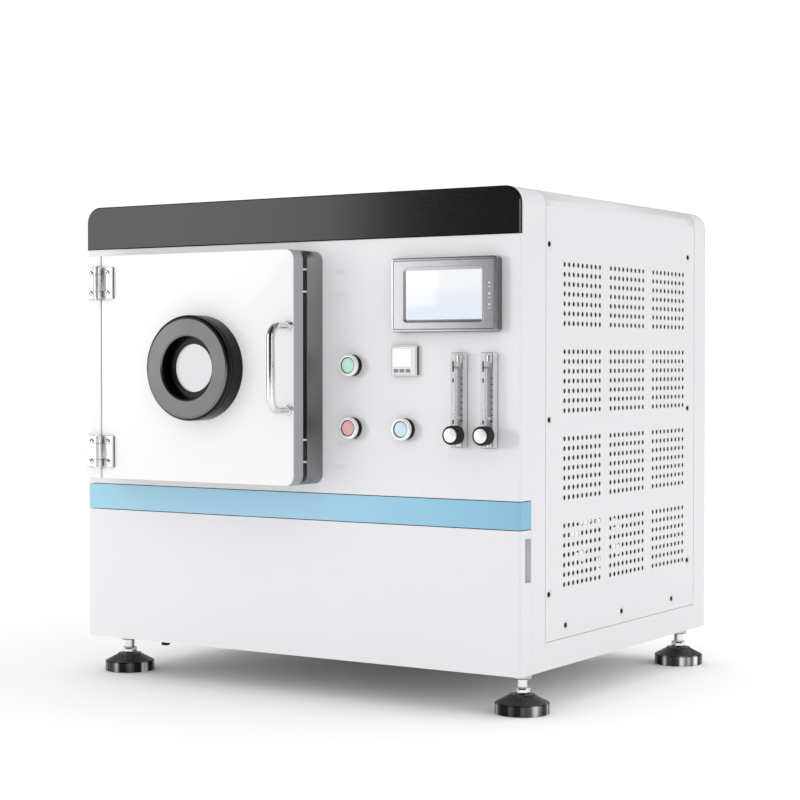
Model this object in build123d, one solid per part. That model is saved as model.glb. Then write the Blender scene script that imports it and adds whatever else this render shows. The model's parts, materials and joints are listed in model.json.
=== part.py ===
from build123d import *
import math
import os

# Bench-top plasma cleaner. Millimetres, +Z up, front faces -Y, floor at Z = 0.

# Cabinet
cab_width = 750.0
cab_depth = 620.0
cab_height = 650.0
foot_height = 58.0
sheet = 1.5
corner_radius = 24.0
seam = 1.2
bend_radius = 2.5

# Levels, measured up from the cabinet's underside
sill_height = 37.5
lower_cover_top = 194.3
band_top = 233.0
header_bottom = 586.0

# Depths, measured back from the front panel
lower_step = 29.4
cover_front = 68.8
cover_back = 559.6
header_sink = 4.0
header_proud = 2.0
ledge_lap = 8.0
ledge_width = 26.0

# Perforation: rows of holes drawn as slots, in blocks
vent_hole = 6.8
vent_pitch = 13.45
vent_columns = 9
vent_rows = 7
vent_blocks_deep = 3
vent_blocks_high = 4
vent_block_pitch_deep = 142.5
vent_block_pitch_high = 119.4
vent_first_depth = 124.2
vent_first_level = 111.5

# Grip notches in the sides of the lower cover
notch_depth = 16.8
notch_height = 58.4
notch_level = 124.0
pocket_reach = 20.0

# Levelling feet
foot_inset = 30.0
foot_front = 59.4
foot_back_inset = 50.0
pad_radius = 37.5
pad_sides = 28
pad_rim = 15.0
pad_cone = 9.7
pad_top_radius = 18.0
pad_step = 1.5
pad_step_inset = 1.0
stud_hex = 19.0
stud_hex_height = 8.8
stud_radius = 7.2
thread_radius = 6.0
thread_length = 30.0
foot_nut_radius = 13.0
foot_nut_height = 11.3
foot_nut_edge = 2.0
ball_radius = 5.0
fit_gap = 0.05
seat_gap = 0.2

# Vacuum chamber
chamber_x = 273.0
chamber_z = 408.4
cavity_width = 270.0
cavity_height = 240.0
cavity_radius = 20.0
chamber_wall = 12.0
chamber_depth = 300.0
panel_clear = 1.0
flange_hinge_margin = 89.0
flange_latch_margin = 25.4
flange_low_margin = 42.6
flange_high_margin = 43.6
flange_thick = 37.0
flange_radius = 14.0

# Door
hinge_block_width = 38.6
split_gap = 1.5
door_front = 71.0
door_thick = 23.4
back_plate_inset = 13.0
back_plate_thick = 8.6
seal_width = 5.6
seal_offset = 6.0
seal_groove_depth = 3.6
seal_groove_clear = 0.2
catch_height = 34.0
catch_lift = 3.2
catch_inset = 5.0
catch_width = 8.0
catch_gap = 1.0

# Hinges
hinge_margin = 39.9
hinge_height = 46.0
leaf_thick = 3.5
leaf_reach = 25.7
knuckle_radius = 6.6
knuckle_standoff = 0.4
knuckle_end = 11.0
knuckle_gap = 0.3
knuckle_clear = 1.2
hinge_pin_radius = 2.5
pin_head_radius = 4.0
pin_head_height = 1.5

# Window
ring_radius = 74.3
ring_height = 33.0
ring_edge = 3.0
ring_mouth_radius = 44.7
ring_mouth_depth = 14.0
ring_step_radius = 34.0
glass_seat_depth = 20.0
glass_radius = 50.0
glass_thick = 8.0
gasket_bore = 42.0
door_bore = 40.0
glass_clear = 0.3

# Door handle
handle_inset = 7.4
handle_spread = 115.5
handle_bar = 12.0
handle_reach = 41.7
handle_bend = 17.0

# Columns of controls, as shares of the panel between the flange and the right edge
start_share = 0.1617
power_share = 0.4346
meter_share = 0.4359
hmi_share = 0.6491
flow_share = 0.717
flow_pitch_share = 0.1456

# Touch panel
hmi_z = 507.2
hmi_width = 165.2
hmi_height = 100.4
hmi_proud = 15.0
hmi_corner = 5.0
hmi_body_width = 150.0
hmi_body_height = 86.0
hmi_body_depth = 34.0
screen_shift = 0.4
screen_width = 117.0
screen_height = 66.0
screen_thick = 3.0
screen_recess = 0.8
hmi_edge = 1.5

# Pressure meter
meter_z = 418.5
meter_size = 42.4
meter_proud = 6.6
meter_corner = 1.5
meter_body = 36.0
meter_body_depth = 30.0
meter_window_width = 30.0
meter_window_height = 24.5
meter_window_lift = 4.2
meter_window_thick = 1.6
key_width = 7.0
key_height = 4.0
key_pitch = 9.6
key_drop = 13.6
key_depth = 3.0
key_proud = 0.4
key_clear = 0.2
key_travel = 0.8

# Push buttons
start_z = 412.2
stop_z = 325.2
button_radius = 15.0
button_proud = 14.0
button_collar = 9.0
button_bezel_lip = 0.9
button_cap_radius = 10.6
button_cap_clear = 0.25
button_travel = 3.5
button_neck_radius = 11.9
button_hole_clear = 0.3
button_block = 29.0
button_block_depth = 42.0
button_cap_length = 10.5
button_cap_edge = 1.0
button_relief = 1.0

# Flowmeters
flow_width = 18.6
flow_depth = 14.0
flow_low = 302.2
flow_high = 429.6
flow_bore = 2.6
flow_bore_low = 36.0
flow_bore_high = 10.0
flow_port_radius = 4.0
flow_port_inset = 8.0
flow_port_length = 12.0
flow_edge = 1.0
float_radius = 2.3
float_length = 6.0
float_tip = 0.5
knob_z = 319.5
knob_radius = 12.8
knob_length = 17.0
knob_gap = 2.5
knob_cap_radius = 9.6
knob_cap_dome = 1.6
knob_edge = 1.0
stem_radius = 3.0
stem_length = 12.0

# Chamber inside
tray_level = 330.0
tray_side = 17.0
tray_length = 250.0
tray_thick = 4.0
tray_lip = 14.0
tray_front_gap = 34.0
rail_height = 16.0
rail_width = 20.0
rail_ledge = 6.0
electrode_drop = 42.0
electrode_thick = 6.0
electrode_post_radius = 7.0
electrode_post_inset = 26.0

# Shelf and what stands on it
deck_level = 236.0
deck_thick = 2.0
deck_front = 40.0
deck_flange = 20.0
cradle_width = 24.0

# Rear panel and its fittings
rear_panel_inset = 55.0
rear_panel_low = 44.0
rear_panel_top_inset = 40.0
rear_lap = 18.0
port_out = 30.0
port_radius = 15.0
port_bore = 13.0
port_inside = 60.0
port_flange_radius = 20.0
port_flange_thick = 3.0
port_flange_taper = 2.6
valve_size = 62.0
valve_height = 96.0
valve_drive_share = 0.8
pipe_wall = 2.0
gas_inset = 110.0
gas_z = 330.0
gas_pitch = 40.0
gas_out = 22.0
gas_radius = 7.0
gas_bore = 3.05
gas_inside = 16.0
gas_edge = 1.5
fan_inset = 190.0
fan_z = 130.0
fan_size = 119.0
fan_depth = 38.0
fan_bore = 56.0
fan_hub = 20.0
fan_tip_clear = 1.5
fan_blades = 7
fan_shaft = 3.0
fan_strut = 6.0
fan_back = 5.0
fan_corner = 6.0
fan_overlap = 2.0
fan_hub_gap = 1.0
blade_thick = 2.0
blade_share = 0.9
blade_angle = 38.0
inlet_x = 160.0
inlet_z = 110.0
inlet_width = 50.0
inlet_height = 30.0
inlet_proud = 3.0
inlet_depth = 26.0
inlet_mouth_width = 25.0
inlet_mouth_height = 17.0
inlet_mouth_depth = 16.0
inlet_corner = 4.0
inlet_pin_pitch = 7.0
inlet_pin_lift = 2.5
inlet_pin_drop = 2.0
inlet_pin_width = 2.0
inlet_pin_height = 4.0
inlet_pin_length = 11.0
inlet_pin_sink = 6.0

# Units inside
generator_width = 260.0
generator_depth = 330.0
generator_height = 120.0
generator_x = 190.0
generator_back = 150.0
generator_edge = 3.0
generator_sheet = 2.0
gas_block_width = 70.0
gas_block_depth = 46.0
gas_block_height = 60.0
gauge_radius = 14.0
gauge_height = 62.0
gauge_back = 210.0
gauge_foot = 5.0
gauge_foot_height = 4.0
gauge_clear = 0.5

# Places worked out from the sizes above
flange_left = chamber_x - cavity_width / 2 - flange_hinge_margin
flange_right = chamber_x + cavity_width / 2 + flange_latch_margin
flange_low = chamber_z - cavity_height / 2 - flange_low_margin
flange_high = chamber_z + cavity_height / 2 + flange_high_margin
door_split = flange_left + hinge_block_width
hinge_offset = (flange_high - flange_low) / 2 - hinge_margin
handle_x = flange_right - handle_inset
catch_level = chamber_z + catch_lift
catch_offset = cavity_height / 2 - catch_inset
tray_width = cavity_width - 2 * tray_side
control_width = cab_width - flange_right
start_x = flange_right + start_share * control_width
power_x = flange_right + power_share * control_width
meter_x = flange_right + meter_share * control_width
hmi_x = flange_right + hmi_share * control_width
flow_a_x = flange_right + flow_share * control_width
flow_pitch = flow_pitch_share * control_width
rear_panel_width = cab_width - 2 * rear_panel_inset
rear_panel_high = cab_height - rear_panel_top_inset
gas_x = cab_width - gas_inset
fan_x = cab_width - fan_inset
handle_out = door_front + handle_reach + handle_bar / 2
rear_out = port_out
front_y = -(cab_depth + rear_out - handle_out) / 2
back_y = front_y + cab_depth
half = cab_width / 2
base_z = foot_height
top_z = base_z + cab_height
axis_x = chamber_x - half
axis_z = base_z + chamber_z
door_face = front_y - door_front
door_inner = door_face + door_thick
flange_face = front_y - flange_thick


def block(x0, x1, y0, y1, z0, z1):
    """A box between two corners."""
    box = Box(x1 - x0, y1 - y0, z1 - z0)
    return Pos((x0 + x1) / 2, (y0 + y1) / 2, (z0 + z1) / 2) * box


def on_front(x, y, z, shape):
    """Stand a shape, drawn upright on the floor plane, on a wall that faces -Y."""
    return Pos(x, y, z) * (Rot(90, 0, 0) * shape)


def on_back(x, y, z, shape):
    """Stand a shape, drawn upright on the floor plane, on a wall that faces +Y."""
    return Pos(x, y, z) * (Rot(-90, 0, 0) * shape)


def turned(*points):
    """A turned piece from its half section, as radius and height."""
    section = Plane.XZ * make_face(Polyline(*points, close=True))
    return revolve(section, Axis.Z, 360)


def rounded(width, height, radius, low, high):
    """A rounded rectangular plate between two heights."""
    return Pos(0, 0, low) * extrude(RectangleRounded(width, height, radius), high - low)


def rod(radius, low, high):
    """An upright rod between two heights."""
    return Pos(0, 0, (low + high) / 2) * Cylinder(radius, high - low)


def hull(inset):
    """The cabinet's outer form, with every face moved in by the inset."""
    form = block(-half + inset, half - inset, front_y + inset, back_y - inset, base_z + inset, top_z - inset)
    along = form.edges().filter_by(Axis.Y).group_by(Axis.Z)[-1]
    across = form.edges().filter_by(Axis.X).group_by(Axis.Z)[-1].sort_by(Axis.Y)[-1:]
    upright = form.edges().filter_by(Axis.Z).group_by(Axis.Y)[-1]
    form = fillet(along + across + upright, corner_radius - inset)
    bends = form.edges().filter_by(Axis.Z).group_by(Axis.Y)[0]
    return fillet(bends, bend_radius - inset) if inset < bend_radius else form


def chassis_frame():
    step_y = front_y + lower_step
    band_z = base_z + band_top
    header_z = base_z + header_bottom
    seam_front = front_y + cover_front
    seam_back = front_y + cover_back
    sill_z = base_z + sill_height
    sunk = front_y + header_sink
    outer = hull(0)
    skin = outer - hull(sheet)
    skin -= block(-half, half, front_y, step_y, base_z, band_z)
    skin -= block(-half, half, front_y, sunk, header_z, top_z)
    skin += block(-half, half, step_y, step_y + sheet, base_z, band_z)
    skin += block(-half, half, front_y, step_y + sheet, band_z, band_z + sheet)
    skin += outer & block(-half, half, sunk, sunk + sheet, header_z, top_z)
    skin += block(-half, half, front_y, sunk + sheet, header_z - sheet, header_z)
    skin -= block(-half, half, seam_front, seam_back, sill_z, top_z)
    lining = hull(sheet) - hull(2 * sheet)
    ledge = lining & block(-half, half, seam_front - ledge_lap, seam_front + ledge_width, sill_z, top_z)
    ledge += lining & block(-half, half, seam_back - ledge_width, seam_back + ledge_lap, sill_z, top_z)
    sill_low = sill_z - ledge_lap
    sill_high = sill_z + ledge_width
    ledge += lining & block(-half, -half + corner_radius, seam_front, seam_back, sill_low, sill_high)
    ledge += lining & block(half - corner_radius, half, seam_front, seam_back, sill_low, sill_high)
    frame = skin + ledge
    frame -= panel_cutouts()
    lap = rear_lap
    side = rear_panel_width / 2 - lap
    frame -= block(-side, side, back_y - 2 * sheet, back_y, base_z + rear_panel_low + lap,
                   base_z + rear_panel_high - lap)
    for x, y in foot_places():
        frame -= Pos(x, y, base_z) * rod(thread_radius + fit_gap, -sheet, 2 * sheet)
    return frame


def panel_cutouts():
    """What the front panel opens for: chamber, screen, meter, buttons and flowmeters."""
    deep = 4 * sheet
    width = cavity_width + 2 * chamber_wall + 2 * panel_clear
    height = cavity_height + 2 * chamber_wall + 2 * panel_clear
    cuts = [on_front(axis_x, front_y + deep, axis_z, rounded(width, height, cavity_radius, 0, 2 * deep))]
    hmi = Box(hmi_body_width + panel_clear, hmi_body_height + panel_clear, 2 * deep)
    cuts.append(on_front(hmi_x - half, front_y, base_z + hmi_z, hmi))
    meter = Box(meter_body + panel_clear, meter_body + panel_clear, 2 * deep)
    cuts.append(on_front(meter_x - half, front_y, base_z + meter_z, meter))
    for x, z in button_places():
        cuts.append(on_front(x, front_y, z, rod(button_neck_radius + button_hole_clear, -deep, deep)))
    for x in flow_places():
        for z in flow_port_levels():
            cuts.append(on_front(x, front_y, z, rod(flow_port_radius + button_hole_clear, -deep, deep)))
    return cuts


def u_cover():
    low = base_z + sill_height + seam
    front = front_y + cover_front + seam
    back = front_y + cover_back - seam
    cover = (hull(0) - hull(sheet)) & block(-half, half, front, back, low, top_z)
    length = (vent_columns - 1) * vent_pitch + vent_hole
    middle = front_y + vent_first_depth + (vent_columns - 1) * vent_pitch / 2
    rows = []
    for column in range(vent_blocks_deep):
        y = middle + column * vent_block_pitch_deep
        for level in range(vent_blocks_high):
            for row in range(vent_rows):
                z = base_z + vent_first_level + level * vent_block_pitch_high + row * vent_pitch
                rows.append(Pos(0, y, z) * Box(cab_width + 2 * sheet, length, vent_hole))
    return cover - rows


def header_panel():
    low = base_z + header_bottom
    plate = block(-half, half, front_y - header_proud, front_y + header_sink, low, top_z)
    top = plate.edges().filter_by(Axis.Y).group_by(Axis.Z)[-1]
    return fillet(top, corner_radius)


def pan(low, high, back):
    """A shallow sheet pan that faces forward, as wide as the cabinet."""
    shell = block(-half, half, front_y, back, low, high)
    shell = fillet(shell.edges().filter_by(Axis.Z).group_by(Axis.Y)[0], bend_radius)
    return shell - block(-half + sheet, half - sheet, front_y + sheet, back, low + sheet, high - sheet)


def band_trim():
    low = base_z + lower_cover_top + seam / 2
    return pan(low, base_z + band_top - seam, front_y + lower_step)


def lower_cover():
    back = front_y + lower_step - seat_gap
    cover = pan(base_z, base_z + lower_cover_top - seam / 2, back)
    low = base_z + notch_level
    high = low + notch_height
    front = front_y + lower_step - notch_depth
    for side in (-1, 1):
        inner = side * (half - pocket_reach)
        skin = side * half
        x0, x1 = sorted((inner, skin - side * sheet))
        cover += block(x0, x1, front - sheet, back, low - sheet, high + sheet)
        x0, x1 = sorted((inner + side * sheet, skin))
        cover -= block(x0, x1, front, back, low, high)
    return cover


def foot_places():
    x = half - foot_inset
    front = front_y + foot_front
    back = back_y - foot_back_inset
    return [(-x, front), (x, front), (-x, back), (x, back)]


def foot_pad(x, y):
    rim = extrude(RegularPolygon(pad_radius, pad_sides), pad_rim)
    run = (pad_radius - pad_top_radius) * math.cos(math.pi / pad_sides)
    slope = math.degrees(math.atan2(run, pad_cone))
    cone = Pos(0, 0, pad_rim) * extrude(RegularPolygon(pad_radius, pad_sides), pad_cone, taper=slope)
    step_top = pad_rim + pad_cone + pad_step
    step = Pos(0, 0, pad_rim + pad_cone) * extrude(RegularPolygon(pad_top_radius - pad_step_inset, pad_sides), pad_step)
    pad = rim + cone + step
    socket = step_top - ball_radius
    return Pos(x, y, 0) * (pad - rod(ball_radius + fit_gap, socket, step_top))


def foot_stud(x, y):
    seat = pad_rim + pad_cone + pad_step + seat_gap
    hexagon = Pos(0, 0, seat) * extrude(RegularPolygon(stud_hex / 2, 6, major_radius=False), stud_hex_height)
    shoulder = foot_height - foot_nut_height - seat_gap
    stud = hexagon + rod(stud_radius, seat, shoulder)
    stud += rod(thread_radius, shoulder, shoulder + thread_length)
    stud += rod(ball_radius, seat - ball_radius, seat)
    return Pos(x, y, 0) * stud


def foot_nuts():
    low = base_z - foot_nut_height
    bore = thread_radius + fit_gap
    nuts = []
    for x, y in foot_places():
        nut = turned((bore, low), (foot_nut_radius, low), (foot_nut_radius, low + 3 * foot_nut_edge),
                     (foot_nut_radius - foot_nut_edge, base_z), (bore, base_z))
        nuts.append(Pos(x, y, 0) * nut)
    return nuts


def chamber_flange():
    middle_x = (flange_left + flange_right) / 2 - half
    middle_z = (flange_low + flange_high) / 2 + base_z
    plate = rounded(flange_right - flange_left, flange_high - flange_low, flange_radius, 0, flange_thick)
    plate = on_front(middle_x, front_y, middle_z, plate)
    return plate - on_front(axis_x, front_y, axis_z, rounded(cavity_width, cavity_height, cavity_radius, 0, flange_thick))


def chamber_box():
    width = cavity_width + 2 * chamber_wall
    height = cavity_height + 2 * chamber_wall
    box = rounded(width, height, cavity_radius, 0, chamber_depth)
    box -= rounded(cavity_width, cavity_height, cavity_radius - 2, 0, chamber_depth - chamber_wall)
    box -= rod(port_bore, 0, chamber_depth)
    gauge_port = Rot(90, 0, 0) * rod(gauge_radius / 2, 0, 2 * chamber_wall)
    box -= Pos(0, chamber_wall - height / 2, gauge_back) * gauge_port
    return on_back(axis_x, front_y, axis_z, box)


def door_limits():
    return (door_split + split_gap / 2 - half, flange_right - half, base_z + flange_low, base_z + flange_high)


def door_plate():
    x0, x1, z0, z1 = door_limits()
    plate = block(x0, x1, door_face, door_inner, z0, z1)
    plate = fillet(plate.edges().filter_by(Axis.Y).group_by(Axis.X)[-1], flange_radius)
    return plate - on_front(axis_x, door_inner, axis_z, rod(door_bore, 0, door_thick))


def hinge_block():
    x0 = flange_left - half
    x1 = door_split - split_gap / 2 - half
    bar = block(x0, x1, door_face, flange_face, base_z + flange_low, base_z + flange_high)
    return fillet(bar.edges().filter_by(Axis.Y).group_by(Axis.X)[0], flange_radius)


def door_back_plate():
    x0, x1, z0, z1 = door_limits()
    rim = back_plate_inset
    width = x1 - x0 - 2 * rim
    height = z1 - z0 - 2 * rim
    plate = on_back((x0 + x1) / 2, door_inner, (z0 + z1) / 2, rounded(width, height, flange_radius, 0, back_plate_thick))
    plate -= on_back(axis_x, door_inner, axis_z, rod(door_bore, 0, back_plate_thick))
    return plate - seal_ring(seal_width + 2 * seal_groove_clear, seal_groove_low(), back_plate_thick)


def seal_groove_low():
    return back_plate_thick - seal_groove_depth


def seal_ring(width, low, high):
    """A rounded rectangular ring round the chamber's mouth, drawn from the door plate's inner face."""
    span = cavity_width + 2 * seal_offset
    rise = cavity_height + 2 * seal_offset
    radius = cavity_radius + seal_offset
    ring = rounded(span + width, rise + width, radius + width / 2, low, high)
    ring -= rounded(span - width, rise - width, radius - width / 2, low, high)
    return on_back(axis_x, door_inner, axis_z, ring)


def door_seal():
    gap = flange_face - door_inner
    return seal_ring(seal_width, seal_groove_low(), gap - seat_gap)


def door_catches():
    x1 = flange_right - half - catch_gap
    blocks = []
    for side in (-1, 1):
        z = base_z + catch_level + side * catch_offset
        bar = block(x1 - catch_width, x1, door_inner + catch_gap, flange_face, z - catch_height / 2,
                    z + catch_height / 2)
        blocks.append(bar)
    return blocks


def hinge_levels():
    middle = base_z + (flange_low + flange_high) / 2
    return [middle - hinge_offset, middle + hinge_offset]


def hinge_axis():
    return door_split - half, door_face - knuckle_radius - knuckle_standoff


def knuckle(z0, z1, bore, side):
    """One knuckle and the tongue that joins it to its leaf, on the left (-1) or right (1) side."""
    x, y = hinge_axis()
    tongue_end = x + side * (knuckle_radius + knuckle_clear)
    x0, x1 = sorted((x, tongue_end))
    piece = Pos(x, y, 0) * rod(knuckle_radius, z0, z1)
    piece += block(x0, x1, door_face - leaf_thick, door_face, z0, z1)
    return piece - Pos(x, y, 0) * rod(bore, z0, z1)


def leaf(z, side):
    x, _ = hinge_axis()
    x0, x1 = sorted((x + side * (knuckle_radius + knuckle_clear), x + side * leaf_reach))
    return block(x0, x1, door_face - leaf_thick, door_face, z - hinge_height / 2, z + hinge_height / 2)


def hinge_fixed_leaves():
    leaves = []
    for z in hinge_levels():
        low = z - hinge_height / 2
        high = z + hinge_height / 2
        piece = leaf(z, -1)
        piece += knuckle(low, low + knuckle_end, hinge_pin_radius, -1)
        piece += knuckle(high - knuckle_end, high, hinge_pin_radius, -1)
        leaves.append(piece)
    return leaves


def hinge_door_leaves():
    leaves = []
    inside = hinge_height / 2 - knuckle_end - knuckle_gap
    for z in hinge_levels():
        leaves.append(leaf(z, 1) + knuckle(z - inside, z + inside, hinge_pin_radius + fit_gap, 1))
    return leaves


def hinge_pins():
    x, y = hinge_axis()
    pins = []
    for z in hinge_levels():
        low = z - hinge_height / 2
        high = z + hinge_height / 2
        pin = rod(hinge_pin_radius, low, high)
        pin += rod(pin_head_radius, high, high + pin_head_height)
        pin += rod(pin_head_radius, low - pin_head_height, low)
        pins.append(Pos(x, y, 0) * pin)
    return pins


def window_ring():
    seat = ring_height - glass_seat_depth
    step = ring_height - ring_mouth_depth
    seat_radius = glass_radius + glass_clear
    ring = turned((ring_radius, 0), (ring_radius, ring_height - ring_edge), (ring_radius - ring_edge, ring_height),
                  (ring_mouth_radius, ring_height), (ring_mouth_radius, step), (ring_step_radius, step),
                  (ring_step_radius, seat), (seat_radius, seat), (seat_radius, 0))
    return on_front(axis_x, door_face, axis_z, ring)


def window_glass():
    seat = ring_height - glass_seat_depth
    return on_front(axis_x, door_face, axis_z, rod(glass_radius, seat - glass_thick, seat))


def window_gasket():
    high = ring_height - glass_seat_depth - glass_thick
    ring = rod(glass_radius, 0, high) - rod(gasket_bore, 0, high)
    return on_front(axis_x, door_face, axis_z, ring)


def door_handle():
    x = handle_x - half
    half_span = handle_spread / 2
    path = FilletPolyline((x, door_face, axis_z - half_span), (x, door_face - handle_reach, axis_z - half_span),
                          (x, door_face - handle_reach, axis_z + half_span), (x, door_face, axis_z + half_span),
                          radius=handle_bend)
    section = Plane((x, door_face, axis_z - half_span), x_dir=(1, 0, 0), z_dir=(0, -1, 0)) * Circle(handle_bar / 2)
    return sweep(section, path)


def hmi_housing():
    bezel = rounded(hmi_width, hmi_height, hmi_corner, 0, hmi_proud)
    bezel = chamfer(bezel.faces().sort_by(Axis.Z)[-1].edges(), hmi_edge)
    body = Pos(0, 0, -hmi_body_depth / 2) * Box(hmi_body_width, hmi_body_height, hmi_body_depth)
    pocket_low = hmi_proud - screen_thick - screen_recess
    pocket = Pos(screen_shift, 0, (pocket_low + hmi_proud) / 2) * Box(screen_width, screen_height, hmi_proud - pocket_low)
    return on_front(hmi_x - half, front_y, base_z + hmi_z, bezel + body - pocket)


def hmi_screen():
    low = hmi_proud - screen_thick - screen_recess
    pane = Pos(screen_shift, 0, low + screen_thick / 2) * Box(screen_width, screen_height, screen_thick)
    return on_front(hmi_x - half, front_y, base_z + hmi_z, pane)


def key_shape(index, clearance=0.0, sink=0.0):
    """A meter key or, with its clearance and sink, the well that it moves in."""
    x = (index - 1) * key_pitch - key_pitch / 4
    top = meter_proud + key_proud
    low = top - key_depth - sink
    key = Box(key_width + 2 * clearance, key_height + 2 * clearance, top - low)
    return Pos(x, -key_drop, (low + top) / 2) * key


def meter_case():
    case = rounded(meter_size, meter_size, meter_corner, 0, meter_proud)
    case += Pos(0, 0, -meter_body_depth / 2) * Box(meter_body, meter_body, meter_body_depth)
    low = meter_proud - meter_window_thick
    window = Box(meter_window_width, meter_window_height, meter_window_thick)
    case -= Pos(-key_pitch / 4, meter_window_lift, low + meter_window_thick / 2) * window
    for index in range(3):
        case -= key_shape(index, key_clear, key_travel + seat_gap)
    return on_front(meter_x - half, front_y, base_z + meter_z, case)


def meter_display():
    low = meter_proud - meter_window_thick
    thick = meter_window_thick - seat_gap
    window = Pos(-key_pitch / 4, meter_window_lift, low + thick / 2) * Box(meter_window_width, meter_window_height, thick)
    return on_front(meter_x - half, front_y, base_z + meter_z, window)


def meter_key(index):
    return on_front(meter_x - half, front_y, base_z + meter_z, key_shape(index))


def button_places():
    """Start, stop and power."""
    return [(start_x - half, base_z + start_z), (start_x - half, base_z + stop_z), (power_x - half, base_z + stop_z)]


def button_collars():
    collar = turned((button_neck_radius, 0), (button_radius, 0), (button_radius, button_collar),
                    (button_neck_radius, button_collar))
    return [on_front(x, front_y, z, collar) for x, z in button_places()]


def button_bezels():
    bore = button_cap_radius + button_cap_clear
    lip = button_proud - button_bezel_lip
    neck = button_neck_radius
    bezel = turned((bore, -sheet), (neck, -sheet), (neck, button_collar), (button_radius, button_collar),
                   (button_radius, lip), (button_radius - button_bezel_lip, button_proud), (bore, button_proud))
    return [on_front(x, front_y, z, bezel) for x, z in button_places()]


def button_cap(index):
    x, z = button_places()[index]
    top = button_proud - button_bezel_lip / 2
    cap = turned((0, top - button_cap_length), (button_cap_radius, top - button_cap_length),
                 (button_cap_radius, top - button_cap_edge), (button_cap_radius - button_cap_edge, top), (0, top))
    return on_front(x, front_y, z, cap)


def button_blocks():
    """Contact blocks behind the panel, each with the neck that clamps the button in its hole."""
    size = button_block
    top = -sheet
    block_body = Pos(0, 0, top - button_block_depth / 2) * Box(size, size, button_block_depth)
    cap_low = button_proud - button_bezel_lip / 2 - button_cap_length - button_travel - seat_gap
    block_body -= rod(button_cap_radius + button_cap_clear, min(cap_low, top) - button_relief, top)
    return [on_front(x, front_y, z, block_body) for x, z in button_places()]


def flow_places():
    return [flow_a_x - half, flow_a_x + flow_pitch - half]


def flow_port_levels():
    return [base_z + flow_low + flow_port_inset, base_z + flow_high - flow_port_inset]


def flowmeter(index):
    x = flow_places()[index]
    low = base_z + flow_low
    high = base_z + flow_high
    body = block(x - flow_width / 2, x + flow_width / 2, front_y - flow_depth, front_y, low, high)
    body = chamfer(body.edges().filter_by(Axis.Y), flow_edge)
    body -= Pos(x, front_y - flow_depth / 2, 0) * rod(flow_bore, low + flow_bore_low, high - flow_bore_high)
    for z in flow_port_levels():
        body += on_front(x, front_y, z, rod(flow_port_radius, -flow_port_length, 0))
    stem_hole = rod(stem_radius + fit_gap, flow_depth - stem_length, flow_depth)
    return body - on_front(x, front_y, base_z + knob_z, stem_hole)


def flow_float(index):
    x = flow_places()[index]
    low = base_z + flow_low + flow_bore_low + seat_gap
    body = turned((0, low), (float_radius * 0.5, low + float_tip), (float_radius, low + float_length * 0.7),
                  (float_radius, low + float_length), (0, low + float_length))
    return Pos(x, front_y - flow_depth / 2, 0) * body


def valve_knob(index):
    low = flow_depth + knob_gap
    high = low + knob_length
    rim = knob_radius - knob_edge
    knob = turned((0, low), (rim, low), (knob_radius, low + knob_edge), (knob_radius, high - knob_edge), (rim, high), (knob_cap_radius, high), (knob_cap_radius * 0.7, high + knob_cap_dome),
                  (0, high + knob_cap_dome))
    knob += rod(stem_radius, flow_depth - stem_length + seat_gap, low)
    return on_front(flow_places()[index], front_y, base_z + knob_z, knob)


def tray_limits():
    y0 = flange_face + tray_front_gap
    return y0, y0 + tray_length


def sample_tray():
    y0, y1 = tray_limits()
    z = base_z + tray_level
    x0 = axis_x - tray_width / 2
    x1 = axis_x + tray_width / 2
    tray = block(x0, x1, y0, y1, z, z + tray_thick)
    tray += block(x0 + rail_width, x1 - rail_width, y0, y0 + tray_thick, z, z + tray_lip)
    return tray


def tray_rails():
    y0, y1 = tray_limits()
    z = base_z + tray_level
    rails = []
    for side in (-1, 1):
        wall = axis_x + side * cavity_width / 2
        x0, x1 = sorted((wall, wall - side * rail_width))
        rail = block(x0, x1, y0, y1, z - rail_ledge, z - rail_ledge + rail_height)
        edge = axis_x + side * (tray_width / 2 + seat_gap)
        c0, c1 = sorted((edge, wall - side * rail_width))
        rail -= block(c0, c1, y0, y1, z - seat_gap, z + rail_height)
        rails.append(rail)
    return rails


def upper_electrode():
    """Powered electrode that hangs from the chamber's ceiling on four posts."""
    y0, y1 = tray_limits()
    high = axis_z + cavity_height / 2 - electrode_drop
    plate = block(axis_x - tray_width / 2, axis_x + tray_width / 2, y0, y1, high - electrode_thick, high)
    plate = chamfer(plate.edges().filter_by(Axis.Z), electrode_thick)
    for x in (axis_x - tray_width / 2 + electrode_post_inset, axis_x + tray_width / 2 - electrode_post_inset):
        for y in (y0 + electrode_post_inset, y1 - electrode_post_inset):
            plate += Pos(x, y, 0) * rod(electrode_post_radius, high, high + electrode_drop)
    return plate


def inner_deck():
    z = base_z + deck_level
    side = half - 2 * sheet
    y0 = front_y + deck_front
    y1 = back_y - deck_front
    deck = block(-side, side, y0, y1, z, z + deck_thick)
    deck += block(-side, side, y0, y0 + deck_thick, z - deck_flange, z)
    deck += block(-side, side, y1 - deck_thick, y1, z - deck_flange, z)
    high = axis_z - cavity_height / 2 - chamber_wall
    reach = cavity_width / 2
    for y in (front_y + deck_front + cradle_width, front_y + chamber_depth - 2 * cradle_width):
        deck += block(axis_x - reach, axis_x + reach, y, y + cradle_width, z, high)
    return deck


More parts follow.
